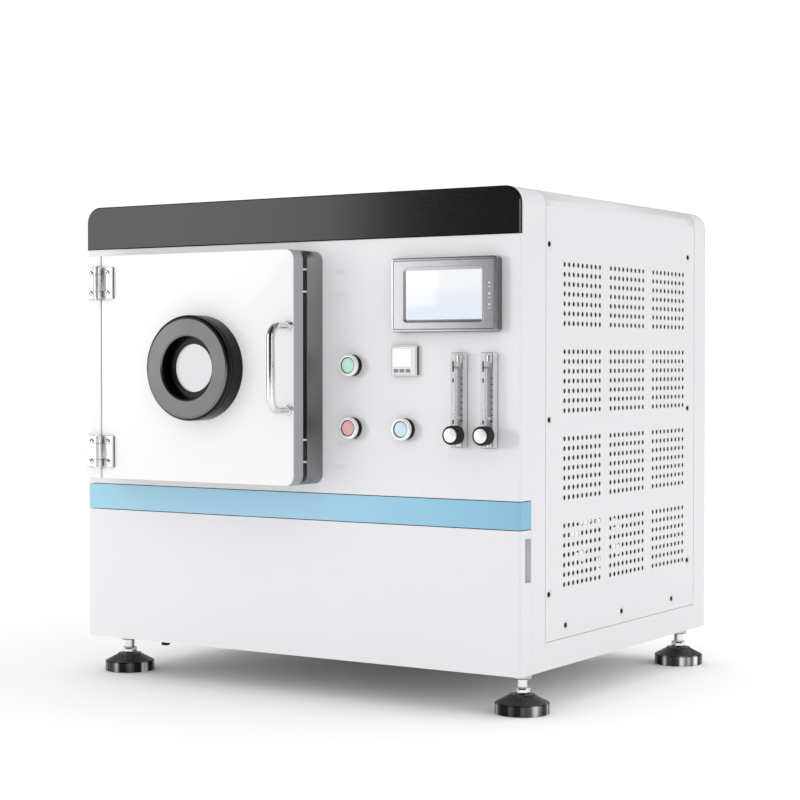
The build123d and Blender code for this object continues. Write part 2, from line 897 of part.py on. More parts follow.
def rear_panel():
    side = rear_panel_width / 2
    panel = block(-side, side, back_y, back_y + sheet, base_z + rear_panel_low, base_z + rear_panel_high)
    panel -= on_back(axis_x, back_y, axis_z, rod(port_radius + panel_clear, 0, sheet))
    for x in gas_places():
        panel -= on_back(x, back_y, base_z + gas_z, rod(gas_radius + panel_clear / 2, 0, sheet))
    panel -= on_back(fan_x - half, back_y, base_z + fan_z, rod(fan_bore, 0, sheet))
    mouth = Box(inlet_width - 2 * inlet_proud, inlet_height - 2 * inlet_proud, 4 * sheet)
    return panel - on_back(inlet_x - half, back_y, base_z + inlet_z, mouth)


def vacuum_port():
    out = port_out
    inside = -port_inside
    taper = port_flange_taper
    port = turned((port_bore, inside), (port_radius, inside), (port_radius, out - port_flange_thick - taper),
                  (port_flange_radius, out - port_flange_thick), (port_flange_radius, out), (port_bore, out))
    return on_back(axis_x, back_y, axis_z, port)


def vacuum_valve():
    """Angle valve between the chamber and the rear port, with its drive on top."""
    high = -port_inside
    body = Pos(0, 0, high - valve_size / 2) * Box(valve_size, valve_size, valve_size)
    drive_width = valve_size * valve_drive_share
    drive = Pos(0, -(valve_size + valve_height) / 2, high - valve_size / 2) * Box(drive_width, valve_height, drive_width)
    low = -(cab_depth - chamber_depth)
    pipe = rod(port_radius + pipe_wall, low, high - valve_size)
    return on_back(axis_x, back_y, axis_z, body + drive + pipe)


def gas_places():
    return [gas_x - gas_pitch / 2 - half, gas_x + gas_pitch / 2 - half]


def gas_inlet():
    """Gas valve block inside, with its two tube fittings that stand out of the rear panel."""
    body = Box(gas_block_width, gas_block_height, gas_block_depth)
    inlet = on_back(gas_x - half, back_y - gas_inside - gas_block_depth / 2, base_z + gas_z, body)
    fitting = turned((gas_bore, -gas_inside), (gas_radius, -gas_inside), (gas_radius, gas_out - gas_edge),
                     (gas_radius - gas_edge, gas_out), (gas_bore, gas_out))
    for x in gas_places():
        inlet += on_back(x, back_y, base_z + gas_z, fitting)
    return inlet


def fan_frame():
    depth = fan_depth
    frame = rounded(fan_size, fan_size, fan_corner, -depth, 0) - rod(fan_bore, -depth, 0)
    back = -depth + fan_back
    frame += rod(fan_hub, -depth, back)
    for turn in range(3):
        reach = fan_bore + 2 * fan_overlap
        strut = Pos(0, reach / 2, -depth + fan_back / 2) * Box(fan_strut, reach, fan_back)
        frame += Rot(0, 0, 120 * turn) * strut
    frame += rod(fan_shaft, -depth, -fan_back)
    return on_back(fan_x - half, back_y, base_z + fan_z, frame)


def fan_rotor():
    low = -fan_depth + fan_back + fan_hub_gap
    high = -fan_back
    rotor = rod(fan_hub, low, high)
    tip = fan_bore - fan_tip_clear
    reach = tip - fan_hub + fan_overlap
    for turn in range(fan_blades):
        blade = Rot(blade_angle, 0, 0) * Box(reach, blade_thick, (high - low) * blade_share)
        blade = Pos(tip - reach / 2, 0, (low + high) / 2) * blade
        rotor += Rot(0, 0, turn * 360 / fan_blades) * blade
    rotor &= rod(tip, low, high)
    rotor -= rod(fan_shaft + fit_gap, low, high)
    return on_back(fan_x - half, back_y, base_z + fan_z, rotor)


def mains_inlet():
    face = sheet + inlet_proud
    flange = rounded(inlet_width, inlet_height, inlet_corner, sheet, face)
    body_width = inlet_width - 2 * inlet_proud - panel_clear
    body_height = inlet_height - 2 * inlet_proud - panel_clear
    body = Pos(0, 0, sheet - inlet_depth / 2) * Box(body_width, body_height, inlet_depth)
    mouth = Box(inlet_mouth_width, inlet_mouth_height, inlet_mouth_depth)
    inlet = flange + body - Pos(0, 0, face - inlet_mouth_depth / 2) * mouth
    level = face - inlet_pin_sink - inlet_pin_length / 2
    pin = Box(inlet_pin_width, inlet_pin_height, inlet_pin_length)
    for x, y in ((-inlet_pin_pitch, -inlet_pin_drop), (0, inlet_pin_lift), (inlet_pin_pitch, -inlet_pin_drop)):
        inlet += Pos(x, y, level) * pin
    return on_back(inlet_x - half, back_y, base_z + inlet_z, inlet)


def rf_generator():
    """Closed unit on the cabinet floor, with its matching network inside."""
    low = base_z + sheet
    x0 = generator_x - generator_width / 2 - half
    y1 = back_y - generator_back
    y0 = y1 - generator_depth
    wall = generator_sheet
    unit = block(x0, x0 + generator_width, y0, y1, low, low + generator_height)
    unit = chamfer(unit.edges().filter_by(Axis.Z), generator_edge)
    return unit - block(x0 + wall, x0 + generator_width - wall, y0 + wall, y1 - wall, low, low + generator_height - wall)


def pressure_gauge():
    low = axis_z + cavity_height / 2 + chamber_wall
    y = front_y + gauge_back
    gauge = rod(gauge_radius, low, low + gauge_height) + rod(gauge_radius + gauge_foot, low, low + gauge_foot_height)
    gauge += rod(gauge_radius / 2 - gauge_clear, low - chamber_wall, low)
    return Pos(axis_x, y, 0) * gauge


def write(name, shape):
    """Write one node, a single solid or a group of separate solids."""
    solids = shape if isinstance(shape, list) else [shape]
    solids = [solid for piece in solids for solid in piece.solids()]
    node = solids[0] if len(solids) == 1 else Compound(children=solids)
    export_step(node, f"parts/{name}.step")


def main():
    os.makedirs("parts", exist_ok=True)
    makers = [chassis_frame, u_cover, header_panel, band_trim, lower_cover, foot_nuts, chamber_flange, chamber_box,
              door_plate, hinge_block, door_back_plate, door_seal, door_catches, hinge_fixed_leaves,
              hinge_door_leaves, hinge_pins, window_ring, window_glass, window_gasket, door_handle, hmi_housing,
              hmi_screen, meter_case, meter_display, button_collars, button_bezels, button_blocks, sample_tray,
              tray_rails, upper_electrode, inner_deck, rear_panel, vacuum_port, vacuum_valve, gas_inlet, fan_frame,
              fan_rotor, mains_inlet, rf_generator, pressure_gauge]
    for maker in makers:
        write(maker.__name__, maker())
    corners = ("front_left", "front_right", "rear_left", "rear_right")
    for corner, (x, y) in zip(corners, foot_places()):
        write(f"foot_pad_{corner}", foot_pad(x, y))
        write(f"foot_stud_{corner}", foot_stud(x, y))
    for index, name in enumerate(("start_button", "stop_button", "power_button")):
        write(name, button_cap(index))
    for index in range(3):
        write(f"meter_key_{index + 1}", meter_key(index))
    for index, letter in enumerate("ab"):
        write(f"flowmeter_{letter}", flowmeter(index))
        write(f"flow_float_{letter}", flow_float(index))
        write(f"valve_knob_{letter}", valve_knob(index))


main()
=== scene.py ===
# %% [markdown]
# A bench-top plasma cleaner: a white steel cabinet with a vacuum chamber behind a hinged door.
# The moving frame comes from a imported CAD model. Each cell below gives one piece or one finish
# the look of the real thing, and rides it on the CAD body that carries it.

# %% Load the frame
import json
import math

import bmesh
import bpy
from mathutils import Matrix, Vector


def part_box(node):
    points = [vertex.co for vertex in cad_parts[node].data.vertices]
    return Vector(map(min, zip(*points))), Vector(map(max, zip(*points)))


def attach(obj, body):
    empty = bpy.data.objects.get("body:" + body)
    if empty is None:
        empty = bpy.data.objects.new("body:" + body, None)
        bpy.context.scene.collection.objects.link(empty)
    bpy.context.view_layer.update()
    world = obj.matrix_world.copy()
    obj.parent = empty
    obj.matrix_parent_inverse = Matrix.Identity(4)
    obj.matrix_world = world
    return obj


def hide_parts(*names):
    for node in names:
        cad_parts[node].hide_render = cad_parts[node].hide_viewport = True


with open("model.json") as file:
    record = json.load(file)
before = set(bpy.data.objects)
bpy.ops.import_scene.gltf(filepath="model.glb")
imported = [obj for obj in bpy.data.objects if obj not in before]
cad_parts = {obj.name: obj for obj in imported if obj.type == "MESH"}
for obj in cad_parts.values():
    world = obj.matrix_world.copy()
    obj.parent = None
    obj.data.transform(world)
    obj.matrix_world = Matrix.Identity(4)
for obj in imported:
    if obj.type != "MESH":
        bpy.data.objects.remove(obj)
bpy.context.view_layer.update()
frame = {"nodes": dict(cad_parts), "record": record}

scene = bpy.context.scene
mm = 0.001
node_slots = {part["node"]: part["material_slot"] for part in frame["record"]["subparts"]}

# %% [markdown]
# Where the front panel and the cabinet's underside lie. Every piece on the front is placed from
# these planes and from the boxes of the CAD nodes, so a change in the CAD model carries through.

# %% Datum planes
front_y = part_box("chassis_frame")[0][1]
base_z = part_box("chassis_frame")[0][2]
half_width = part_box("chassis_frame")[1][0]
door_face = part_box("door_plate")[0][1]
print("front", round(front_y, 4), "underside", round(base_z, 4), "half width", round(half_width, 4))

# %% [markdown]
# A photograph of a product this size is taken from a few metres off with a long lens, so the
# cabinet's edges stay nearly parallel. The camera stands to the right of the front and looks
# very slightly down.

# %% Camera
camera_data = bpy.data.cameras.new("camera")
camera_data.lens = 86.68
camera_data.sensor_width = 36.0
camera = bpy.data.objects.new("camera", camera_data)
camera.location = (1.5976, -2.48855, 0.4774)
camera.rotation_euler = (math.radians(88.815), 0.0, math.radians(32.4))
scene.collection.objects.link(camera)
scene.camera = camera
print("camera is", round(camera.location.length, 2), "m from the origin")

# %% [markdown]
# A product studio is a white room with a few soft lights. The white surround fills the shadows.
# Metal and gloss would look like chalk if they mirrored that white, so in mirror reflections the
# surround is dim, as black flags beside a real set make it. It is darkest behind the camera and
# paler towards the back, so bent metal shows dark and light bands.

# %% Surround


def set_inputs(node, **values):
    """Set inputs of a shader node by their names."""
    for socket, value in values.items():
        node.inputs[socket.replace("_", " ")].default_value = value


def add_node(tree, kind, **values):
    """A new shader node with some of its inputs set."""
    node = tree.nodes.new("ShaderNode" + kind)
    set_inputs(node, **values)
    return node


scene.view_settings.view_transform = "Standard"
world = bpy.data.worlds.new("surround")
world.use_nodes = True
sky = world.node_tree
white_room = sky.nodes["Background"]
set_inputs(white_room, Color=(1.0, 1.0, 1.0, 1.0), Strength=1.06)
flags = add_node(sky, "Background", Strength=1.0)
look, parts = add_node(sky, "TexCoord"), add_node(sky, "SeparateXYZ")
forward, heading = add_node(sky, "Math"), add_node(sky, "Math")
forward.operation, heading.operation = "MULTIPLY", "ARCTAN2"
forward.inputs[1].default_value = -1.0
turn = add_node(sky, "MapRange", From_Min=-math.pi, From_Max=math.pi)
bands = add_node(sky, "ValToRGB")
stops = bands.color_ramp.elements
for degrees, grey in ((-180, 0.3), (-100, 0.3), (-66, 0.16), (-26, 0.15), (-12, 0.02), (58, 0.02),
                      (74, 0.2), (110, 0.3), (180, 0.3)):
    share = (degrees + 180) / 360
    stop = stops[0] if share == 0 else stops[len(stops) - 1] if share == 1 else stops.new(share)
    stop.color = (grey, grey, grey, 1.0)
ray, choice = add_node(sky, "LightPath"), add_node(sky, "MixShader")
for source, target in (
        (look.outputs["Generated"], parts.inputs["Vector"]),
        (parts.outputs["Y"], forward.inputs[0]),
        (parts.outputs["X"], heading.inputs[0]),
        (forward.outputs["Value"], heading.inputs[1]),
        (heading.outputs["Value"], turn.inputs["Value"]),
        (turn.outputs["Result"], bands.inputs["Fac"]),
        (bands.outputs["Color"], flags.inputs["Color"]),
        (ray.outputs["Is Glossy Ray"], choice.inputs["Fac"]),
        (white_room.outputs["Background"], choice.inputs[1]),
        (flags.outputs["Background"], choice.inputs[2]),
        (choice.outputs["Shader"], sky.nodes["World Output"].inputs["Surface"])):
    sky.links.new(source, target)
scene.world = world

# %% [markdown]
# The light comes from the front left. One large soft box there shows in the gloss plate and
# greys its left half. A small key light beside it casts the short shadows to the right of the
# buttons and knobs. In the photo the door casts no such shadow on the panel, so it lets this
# light pass, and the floor isn't lit by it. A strip at the right draws the bright edges, and one
# more light fills the side.

# %% Lights


def soft_light(name, place, aim, size, power, mirrored=True, lights=True):
    """A large rectangular light at a place, turned towards a point."""
    data = bpy.data.lights.new(name, "AREA")
    data.shape = "RECTANGLE"
    data.size, data.size_y = size
    data.energy = power
    light = bpy.data.objects.new(name, data)
    light.location = place
    light.rotation_euler = (Vector(aim) - Vector(place)).to_track_quat("-Z", "Y").to_euler()
    light.visible_glossy = mirrored
    light.visible_diffuse = lights
    scene.collection.objects.link(light)
    return light


soft_light("left_soft_box", (-2.45, -2.5, 0.95), (0.0, -0.2, 0.45), (1.9, 1.6), 25, lights=False)
soft_light("right_strip", (2.75, -1.6, 0.9), (0.2, -0.2, 0.4), (0.3, 1.6), 7, lights=False)
key_light = soft_light("key_light", (-1.9, -2.6, 0.75), (0.0, -0.25, 0.4), (0.35, 0.35), 28, mirrored=False)
soft_light("side_light", (3.4, 0.9, 1.4), (0.37, 0.0, 0.35), (1.6, 1.6), 22, mirrored=False)
door_group = bpy.data.collections.new("lets_the_key_light_pass")
key_light.light_linking.blocker_collection = door_group
stage_group = bpy.data.collections.new("not_lit_by_the_key_light")
key_light.light_linking.receiver_collection = stage_group

# %% [markdown]
# Every finish is one principled shader with its own grain. Powder coat has a fine orange-peel
# bump, machined and brushed metal has streaks, and moulded plastic has a soft texture. The
# grain is procedural and reads object coordinates, so it keeps its scale on every piece.

# %% Finish helpers


def shader_of(material):
    return material.node_tree.nodes["Principled BSDF"]


def base_finish(name, colour, roughness, metallic=0.0, **sockets):
    """A material whose principled shader holds the plain values."""
    material = bpy.data.materials.new(name)
    material.use_nodes = True
    set_inputs(shader_of(material), Base_Color=(*colour, 1.0), Roughness=roughness, Metallic=metallic,
               **sockets)
    return material


def object_place(tree, stretch=(1.0, 1.0, 1.0)):
    """Object coordinates, stretched for one pattern."""
    mapping = add_node(tree, "Mapping", Scale=stretch)
    tree.links.new(add_node(tree, "TexCoord").outputs["Object"], mapping.inputs["Vector"])
    return mapping.outputs["Vector"]


def noise(material, scale, stretch=(1.0, 1.0, 1.0), detail=2.0):
    """A noise in object coordinates, stretched where the grain runs one way."""
    tree = material.node_tree
    grain = add_node(tree, "TexNoise", Scale=scale, Detail=detail)
    tree.links.new(object_place(tree, stretch), grain.inputs["Vector"])
    return grain.outputs["Fac"]


def add_bump(material, grain, strength, distance):
    """Raise the surface by the grain."""
    tree = material.node_tree
    bump = add_node(tree, "Bump", Strength=strength, Distance=distance)
    tree.links.new(grain, bump.inputs["Height"])
    tree.links.new(bump.outputs["Normal"], shader_of(material).inputs["Normal"])


def vary_gloss(material, grain, roughness, reach):
    """Let the grain move the roughness up and down."""
    tree = material.node_tree
    spread = add_node(tree, "MapRange", From_Min=0.3, From_Max=0.7, To_Min=roughness - reach,
                      To_Max=roughness + reach)
    tree.links.new(grain, spread.inputs["Value"])
    tree.links.new(spread.outputs["Result"], shader_of(material).inputs["Roughness"])


def tint(material, grain, *shades, socket="Base Color"):
    """Let the grain move a colour socket through two or more shades."""
    tree = material.node_tree
    ramp = add_node(tree, "ValToRGB")
    stops = ramp.color_ramp.elements
    while len(stops) < len(shades):
        stops.new(0.5)
    for index, colour in enumerate(shades):
        stops[index].position = 0.3 + 0.4 * index / (len(shades) - 1)
        stops[index].color = (*colour, 1.0)
    tree.links.new(grain, ramp.inputs["Fac"])
    tree.links.new(ramp.outputs["Color"], shader_of(material).inputs[socket])


def tint_along(material, axis, start, end, *shades, socket="Base Color"):
    """Blend shades along an object axis. The blend fills the middle two fifths of the stretch."""
    tree = material.node_tree
    split = add_node(tree, "SeparateXYZ")
    tree.links.new(object_place(tree), split.inputs["Vector"])
    spread = add_node(tree, "MapRange", From_Min=start, From_Max=end)
    tree.links.new(split.outputs[axis], spread.inputs["Value"])
    tint(material, spread.outputs["Result"], *shades, socket=socket)


def drift(material, grain, colour, reach):
    """Let the grain make the colour a little darker and paler."""
    tint(material, grain, *[tuple(min(1.0, c * factor) for c in colour) for factor in (1 - reach, 1 + reach)])


def coated(name, colour, roughness=0.42, peel=0.12):
    """Powder coat or paint on sheet metal: orange peel and a faint drift of the colour."""
    material = base_finish(name, colour, roughness)
    drift(material, noise(material, 2.0), colour, 0.006)
    add_bump(material, noise(material, 900.0), peel, 0.0004)
    vary_gloss(material, noise(material, 6.0), roughness, 0.015)
    return material


def brushed(name, colour, roughness, stretch, depth=0.12, contrast=0.08):
    """Metal with streaks that run along the axis where the stretch is small."""
    material = base_finish(name, colour, roughness, 1.0)
    streaks = noise(material, 1.0, stretch, 4.0)
    drift(material, streaks, colour, contrast)
    add_bump(material, streaks, depth, 0.0002)
    vary_gloss(material, streaks, roughness, 0.06)
    return material


def satin(name, colour, roughness, metallic=1.0):
    """Plain or plated metal: no streaks, only a slow drift of the colour and the gloss."""
    material = base_finish(name, colour, roughness, metallic)
    grain = noise(material, 12.0)
    drift(material, grain, colour, 0.03)
    vary_gloss(material, grain, roughness, 0.03)
    return material


def moulded(name, colour, roughness, grain_scale=1200.0, depth=0.1, **sockets):
    """Moulded plastic or rubber with a fine texture."""
    material = base_finish(name, colour, roughness, 0.0, **sockets)
    grain = noise(material, grain_scale)
    drift(material, noise(material, 25.0), colour, 0.04)
    add_bump(material, grain, depth, 0.0002)
    vary_gloss(material, grain, roughness, 0.05)
    return material


# %% [markdown]
# The finishes of this machine. The cabinet and the door are white powder coat, the trim band is
# light blue, the plate at the top is gloss black, and the chamber is machined aluminium.

# %% Finishes
finishes = {
    "cabinet_white": coated("white_powder_coat", (0.665, 0.665, 0.68)),
    "black_plate": moulded("black_gloss_plate", (0.002, 0.002, 0.002), 0.16, 500.0, 0.01),
    "band_blue": coated("blue_powder_coat", (0.25, 0.47, 0.62)),
    "dark_metal": satin("plain_steel", (0.55, 0.55, 0.55), 0.3),
    "chamber_metal": brushed("machined_aluminium", (0.25, 0.25, 0.255), 0.38, (4.0, 4.0, 700.0)),
    "door_metal": coated("white_door_enamel", (0.74, 0.74, 0.75), 0.3, 0.05),
    "ring_metal": satin("black_anodised_ring", (0.1, 0.1, 0.102), 0.3),
    "seal_rubber": moulded("seal_rubber", (0.015, 0.015, 0.015), 0.6),
    "black_plastic": moulded("black_moulding", (0.008, 0.008, 0.009), 0.4, Specular_IOR_Level=0.2),
    "polished_steel": satin("polished_steel", (0.82, 0.82, 0.83), 0.12),
    "hmi_metal": brushed("brushed_bezel", (0.6, 0.6, 0.63), 0.34, (6.0, 500.0, 500.0), 0.08, 0.04),
    "screen_glass": base_finish("lit_screen", (0.02, 0.02, 0.02), 0.12),
    "meter_white": moulded("white_meter_case", (0.66, 0.66, 0.67), 0.35),
    "display_dark": moulded("display_window", (0.86, 0.86, 0.87), 0.15, 300.0, 0.01),
    "key_grey": moulded("grey_keys", (0.2, 0.21, 0.24), 0.4),
    "bezel_silver": satin("satin_bezel", (0.84, 0.84, 0.85), 0.28, 0.4),
    "lens_green": moulded("green_lens", (0.43, 0.68, 0.54), 0.22, 300.0, 0.01),
    "lens_red": moulded("red_lens", (0.62, 0.35, 0.33), 0.22, 300.0, 0.01),
    "lens_blue": moulded("blue_lens", (0.5, 0.64, 0.74), 0.22, 300.0, 0.01),
    "clear_acrylic": base_finish("clear_acrylic", (0.8, 0.82, 0.84), 0.06, 0.0, Alpha=0.16),
    "rail_plastic": moulded("white_rail_plastic", (0.75, 0.74, 0.7), 0.5),
    "zinc_steel": brushed("zinc_plate", (0.5, 0.5, 0.49), 0.4, (90.0, 90.0, 90.0)),
    "fitting_brass": brushed("nickel_fitting", (0.6, 0.58, 0.52), 0.25, (200.0, 8.0, 200.0)),
    "black_chrome": satin("black_chrome", (0.2, 0.2, 0.205), 0.14),
    "window_glass": moulded("sight_glass", (0.14, 0.14, 0.145), 0.08, 60.0, 0.005),
}
for node, slot in node_slots.items():
    materials = frame["nodes"][node].data.materials
    materials.clear()
    materials.append(finishes[slot])
print(len(finishes), "finishes on", len(node_slots), "nodes")

# %% [markdown]
# Some finishes carry painted light and shade. The door's sides behind its rounded rim are
# painted a darker grey, a painted shade on the white door. The screen is lit from behind, a little
# bluer below, and the sight glass glows with a painted light. Painted reflections, highlights and
# painted shade run along one axis on the flange, the ring, the bezel, the hinges and the blue band.

# %% Painted light and shade, and finishes of more than one colour


def greys(*values, blue=1.0):
    """Neutral shades, a little bluer where that is asked for."""
    return [(value, value, value * blue) for value in values]


# The white door is painted a darker grey behind its rounded rim: a painted shade on the door's sides.
door_edge_shade_start, door_edge_shade_blend = door_face + 1.6 * mm, 1.5 * mm
tint_along(finishes["door_metal"], "Y", door_edge_shade_start - door_edge_shade_blend, door_edge_shade_start + door_edge_shade_blend,
           (0.74, 0.74, 0.75), (0.36, 0.36, 0.38))
set_inputs(shader_of(finishes["door_metal"]), Specular_IOR_Level=0.25)
screen_low, screen_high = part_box("hmi_screen")
tint_along(finishes["screen_glass"], "Z", screen_low[2], screen_high[2],
           (0.8, 0.86, 0.97), (0.96, 0.97, 1.0), socket="Emission Color")
set_inputs(shader_of(finishes["screen_glass"]), Emission_Strength=0.92)
# The sight glass glows: a painted light for its bright pale look, though it is no lamp.
set_inputs(shader_of(finishes["window_glass"]), Emission_Color=(0.98, 0.98, 1.0, 1.0),
           Emission_Strength=0.53)
# The blue band is painted darkest at its right end and on its side: a painted shade of the light from the
# left.
tint_along(finishes["band_blue"], "X", -3.5 * half_width, 3.5 * half_width,
           (0.285, 0.515, 0.632), (0.31, 0.54, 0.69), (0.155, 0.374, 0.53))
# The machined aluminium is painted in lighter and darker bands up its height: a painted reflection of the
# room.
flange_reflection_low, flange_reflection_high = 0.0595, 0.8745
tint_along(finishes["chamber_metal"], "Z", flange_reflection_low, flange_reflection_high,
           *greys(0.3, 0.17, 0.23, 0.27, 0.32, blue=1.02))
# The ring's face is satin grey and the ring black behind it. The paler band between them, on the front
# chamfer, is a painted highlight.
ring_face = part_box("window_ring")[0][1]
tint_along(finishes["ring_metal"], "Y", ring_face - 1.2 * mm, ring_face + 2.8 * mm,
           (0.125, 0.125, 0.128), (0.25, 0.25, 0.25), (0.02, 0.02, 0.021))
hmi_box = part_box("hmi_housing")
# The bezel is painted paler at the left and darker at the right: a painted reflection of the light on the
# left.
tint_along(finishes["hmi_metal"], "X", hmi_box[0][0] - 0.12, hmi_box[1][0] + 0.12,
           (0.66, 0.66, 0.69), (0.56, 0.56, 0.59), (0.33, 0.33, 0.35))
# A few bright streaks on the dark rim facets of the feet are painted reflections of the room.
painted_rim_glints = noise(finishes["black_chrome"], 1.0, (60.0, 60.0, 3.0), 1.0)
tint(finishes["black_chrome"], painted_rim_glints, *greys(0.015, 0.02, 0.1, 0.95))
cone_chrome = satin("cone_chrome", (0.13, 0.13, 0.135), 0.2)
leaf_thick = 3.5 * mm
leaf_face = door_face - leaf_thick
hinge_steel = satin("hinge_steel", (0.85, 0.85, 0.86), 0.3)
# The hinge steel is painted dark behind its front face: painted shade on the leaves' edges and on the backs
# of the knuckles.
tint_along(hinge_steel, "Y", leaf_face - 2.0 * mm, leaf_face + 3.0 * mm, (0.85, 0.85, 0.86), (0.1, 0.1, 0.1))
# One dark finish painted on edges: painted shade in the bezel's groove, a painted dark reflection on its
# rolled edge, and painted dark outlines on the clear blocks' front edges.
dark_edge_paint = satin("painted_dark_edges", (0.22, 0.22, 0.23), 0.25)
painted_groove_shade = moulded("painted_groove_shade", (0.35, 0.35, 0.36), 0.4)
# One near-black finish: painted shade on the sides of the white meter case, and the real colour of the
# flowmeters' rubber seals.
painted_side_shade_and_black_seal = moulded("painted_side_shade_and_black_seal", (0.1, 0.1, 0.095), 0.45)
ink = moulded("scale_ink", (0.03, 0.03, 0.035), 0.5)
# The clear blocks' sides darken towards the panel: a painted shade that outlines each block.
clear_side_shade_paint = base_finish("acrylic_painted_side_shade", (0.8, 0.8, 0.82), 0.15, Alpha=0.5)
tint_along(clear_side_shade_paint, "Y", front_y - 7 * mm, front_y + 1.5 * mm,
           (0.85, 0.85, 0.87), (0.8, 0.8, 0.82), (0.06, 0.06, 0.06))

# %% [markdown]
# Mesh helpers. A piece is made in place, in the row's own frame, and its object stays at the
# origin. Flat work starts from a cube or an outline and turned work from a half section.

# %% Mesh helpers


def finish_piece(name, bm, slot, body, stands_for=(), smooth_angle=35.0, finish=None):
    """Turn a mesh under construction into an object that rides on a CAD body."""
    bmesh.ops.recalc_face_normals(bm, faces=bm.faces)
    mesh = bpy.data.meshes.new(name)
    bm.to_mesh(mesh)
    bm.free()
    piece = bpy.data.objects.new(name, mesh)
    scene.collection.objects.link(piece)
    for polygon in mesh.polygons:
        polygon.use_smooth = True
    mesh.set_sharp_from_angle(angle=math.radians(smooth_angle))
    mesh.materials.append(finish or finishes[slot])
    if stands_for:
        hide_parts(*stands_for)
    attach(piece, body)
    print(name, "has", len(mesh.polygons), "faces")
    return piece


def leave_out(group, *pieces):
    """Leave pieces out of what the key light meets."""
    for piece in pieces:
        group.objects.link(piece)
    for item in group.collection_objects:
        item.light_linking.link_state = "EXCLUDE"


def second_finish(piece, finish, test):
    """Give the faces whose middle passes a test another finish."""
    piece.data.materials.append(finish)
    for polygon in piece.data.polygons:
        if test(polygon.center):
            polygon.material_index = len(piece.data.materials) - 1


def middle_of(low, high):
    return (Vector(low) + Vector(high)) / 2


def inset_of(place, box):
    """How far a place lies inside the outline of a box seen from the front."""
    (left, _, bottom), (right, _, top) = box
    return min(place.x - left, right - place.x, place.z - bottom, top - place.z)


def verts_of(geom):
    return [item for item in geom if isinstance(item, bmesh.types.BMVert)]


def edges_of(geom):
    return [item for item in geom if isinstance(item, bmesh.types.BMEdge)]


def add_block(bm, low, high):
    """A box between two corners."""
    made = bmesh.ops.create_cube(bm, size=1.0)["verts"]
    scale = Matrix.Diagonal((*(Vector(high) - Vector(low)), 1.0))
    bmesh.ops.transform(bm, matrix=Matrix.Translation(middle_of(low, high)) @ scale, verts=made)


def edges_along(bm, axis, test=lambda middle: True):
    """Straight edges along an axis whose middle passes a test."""
    found = []
    for edge in bm.edges:
        run = (edge.verts[1].co - edge.verts[0].co).normalized()
        middle = (edge.verts[1].co + edge.verts[0].co) / 2
        if abs(run[axis]) > 0.999 and test(middle):
            found.append(edge)
    return found


def round_edges(bm, edges, radius, segments=4):
    bmesh.ops.bevel(bm, geom=edges, offset=radius, offset_type="OFFSET", affect="EDGES",
                    segments=segments, profile=0.5, material=-1, clamp_overlap=True)


def soft_block(bm, low, high, radius, segments=2):
    """A box with all its edges rounded, joined into a mesh."""
    part = bmesh.new()
    add_block(part, low, high)
    round_edges(part, part.edges[:], radius, segments)
    join(bm, part)


def join(bm, part, seat=Matrix()):
    """Move a finished part of a piece to its seat in the piece's mesh."""
    bmesh.ops.transform(part, matrix=seat, verts=part.verts)
    bmesh.ops.recalc_face_normals(part, faces=part.faces)
    held = bpy.data.meshes.new("part")
    part.to_mesh(held)
    part.free()
    bm.from_mesh(held)
    bpy.data.meshes.remove(held)


# %% [markdown]
# Most pieces of the front are flat work or turned work that stands on a wall facing forward.
# They are drawn lying down, with their height above the wall along Z, and then stood up. A plate
# is a stack of outlines bridged into walls, so its rounded rim comes out as clean strips.

# %% Helpers for pieces that stand on a wall


def on_wall(x, wall_y, z):
    """The seat of a part drawn on the floor, whose height then points out of a wall facing -Y."""
    return Matrix.Translation((x, wall_y, z)) @ Matrix.Rotation(math.pi / 2, 4, "X")


def stand_up(bm, x, wall_y, z):
    bmesh.ops.transform(bm, matrix=on_wall(x, wall_y, z), verts=bm.verts)


def lathe(bm, *section, steps=64, angle=math.tau):
    """Turn a half section, given as radius and height in millimetres, about the upright axis."""
    start = [bm.verts.new((radius * mm, 0.0, height * mm)) for radius, height in section]
    run = [bm.edges.new(pair) for pair in zip(start, start[1:])]
    bmesh.ops.spin(bm, geom=start + run, cent=(0, 0, 0), axis=(0, 0, 1), angle=angle, steps=steps,
                   use_merge=angle == math.tau)
    bmesh.ops.remove_doubles(bm, verts=bm.verts, dist=0.001 * mm)


def turned(bm, x, wall_y, z, *section, steps=64):
    """Add a turned part that stands on a wall."""
    part = bmesh.new()
    lathe(part, *section, steps=steps)
    join(bm, part, on_wall(x, wall_y, z))


def upright(bm, x, y, z, *section, steps=24, angle=math.tau):
    """Add a turned part that stands upright, a full turn or the back half of one."""
    part = bmesh.new()
    lathe(part, *section, steps=steps, angle=angle)
    join(bm, part, Matrix.Translation((x, y, z)))


def outline(bm, width, height, corner, level=0.0, x=0.0, y=0.0, inset=0.0, rounded=lambda corner: True):
    """The edge loop of a rectangle whose chosen corners are rounded, at a level."""
    before = set(bm.edges)
    made = bmesh.ops.create_grid(bm, x_segments=1, y_segments=1, size=0.5)["verts"]
    size = (width - 2 * inset, height - 2 * inset, 1.0, 1.0)
    bmesh.ops.transform(bm, matrix=Matrix.Translation((x, y, level)) @ Matrix.Diagonal(size), verts=made)
    if corner > inset:
        chosen = [v for v in made if rounded(v.co)]
        bmesh.ops.bevel(bm, geom=chosen, offset=corner - inset, offset_type="OFFSET", affect="VERTICES",
                        segments=8, profile=0.5, material=-1, clamp_overlap=True)
    new_edges = [e for e in bm.edges if e not in before]
    flat = list({f for e in new_edges for f in e.link_faces})
    bmesh.ops.delete(bm, geom=flat, context="FACES_ONLY")
    return [e for e in new_edges if e.is_valid]


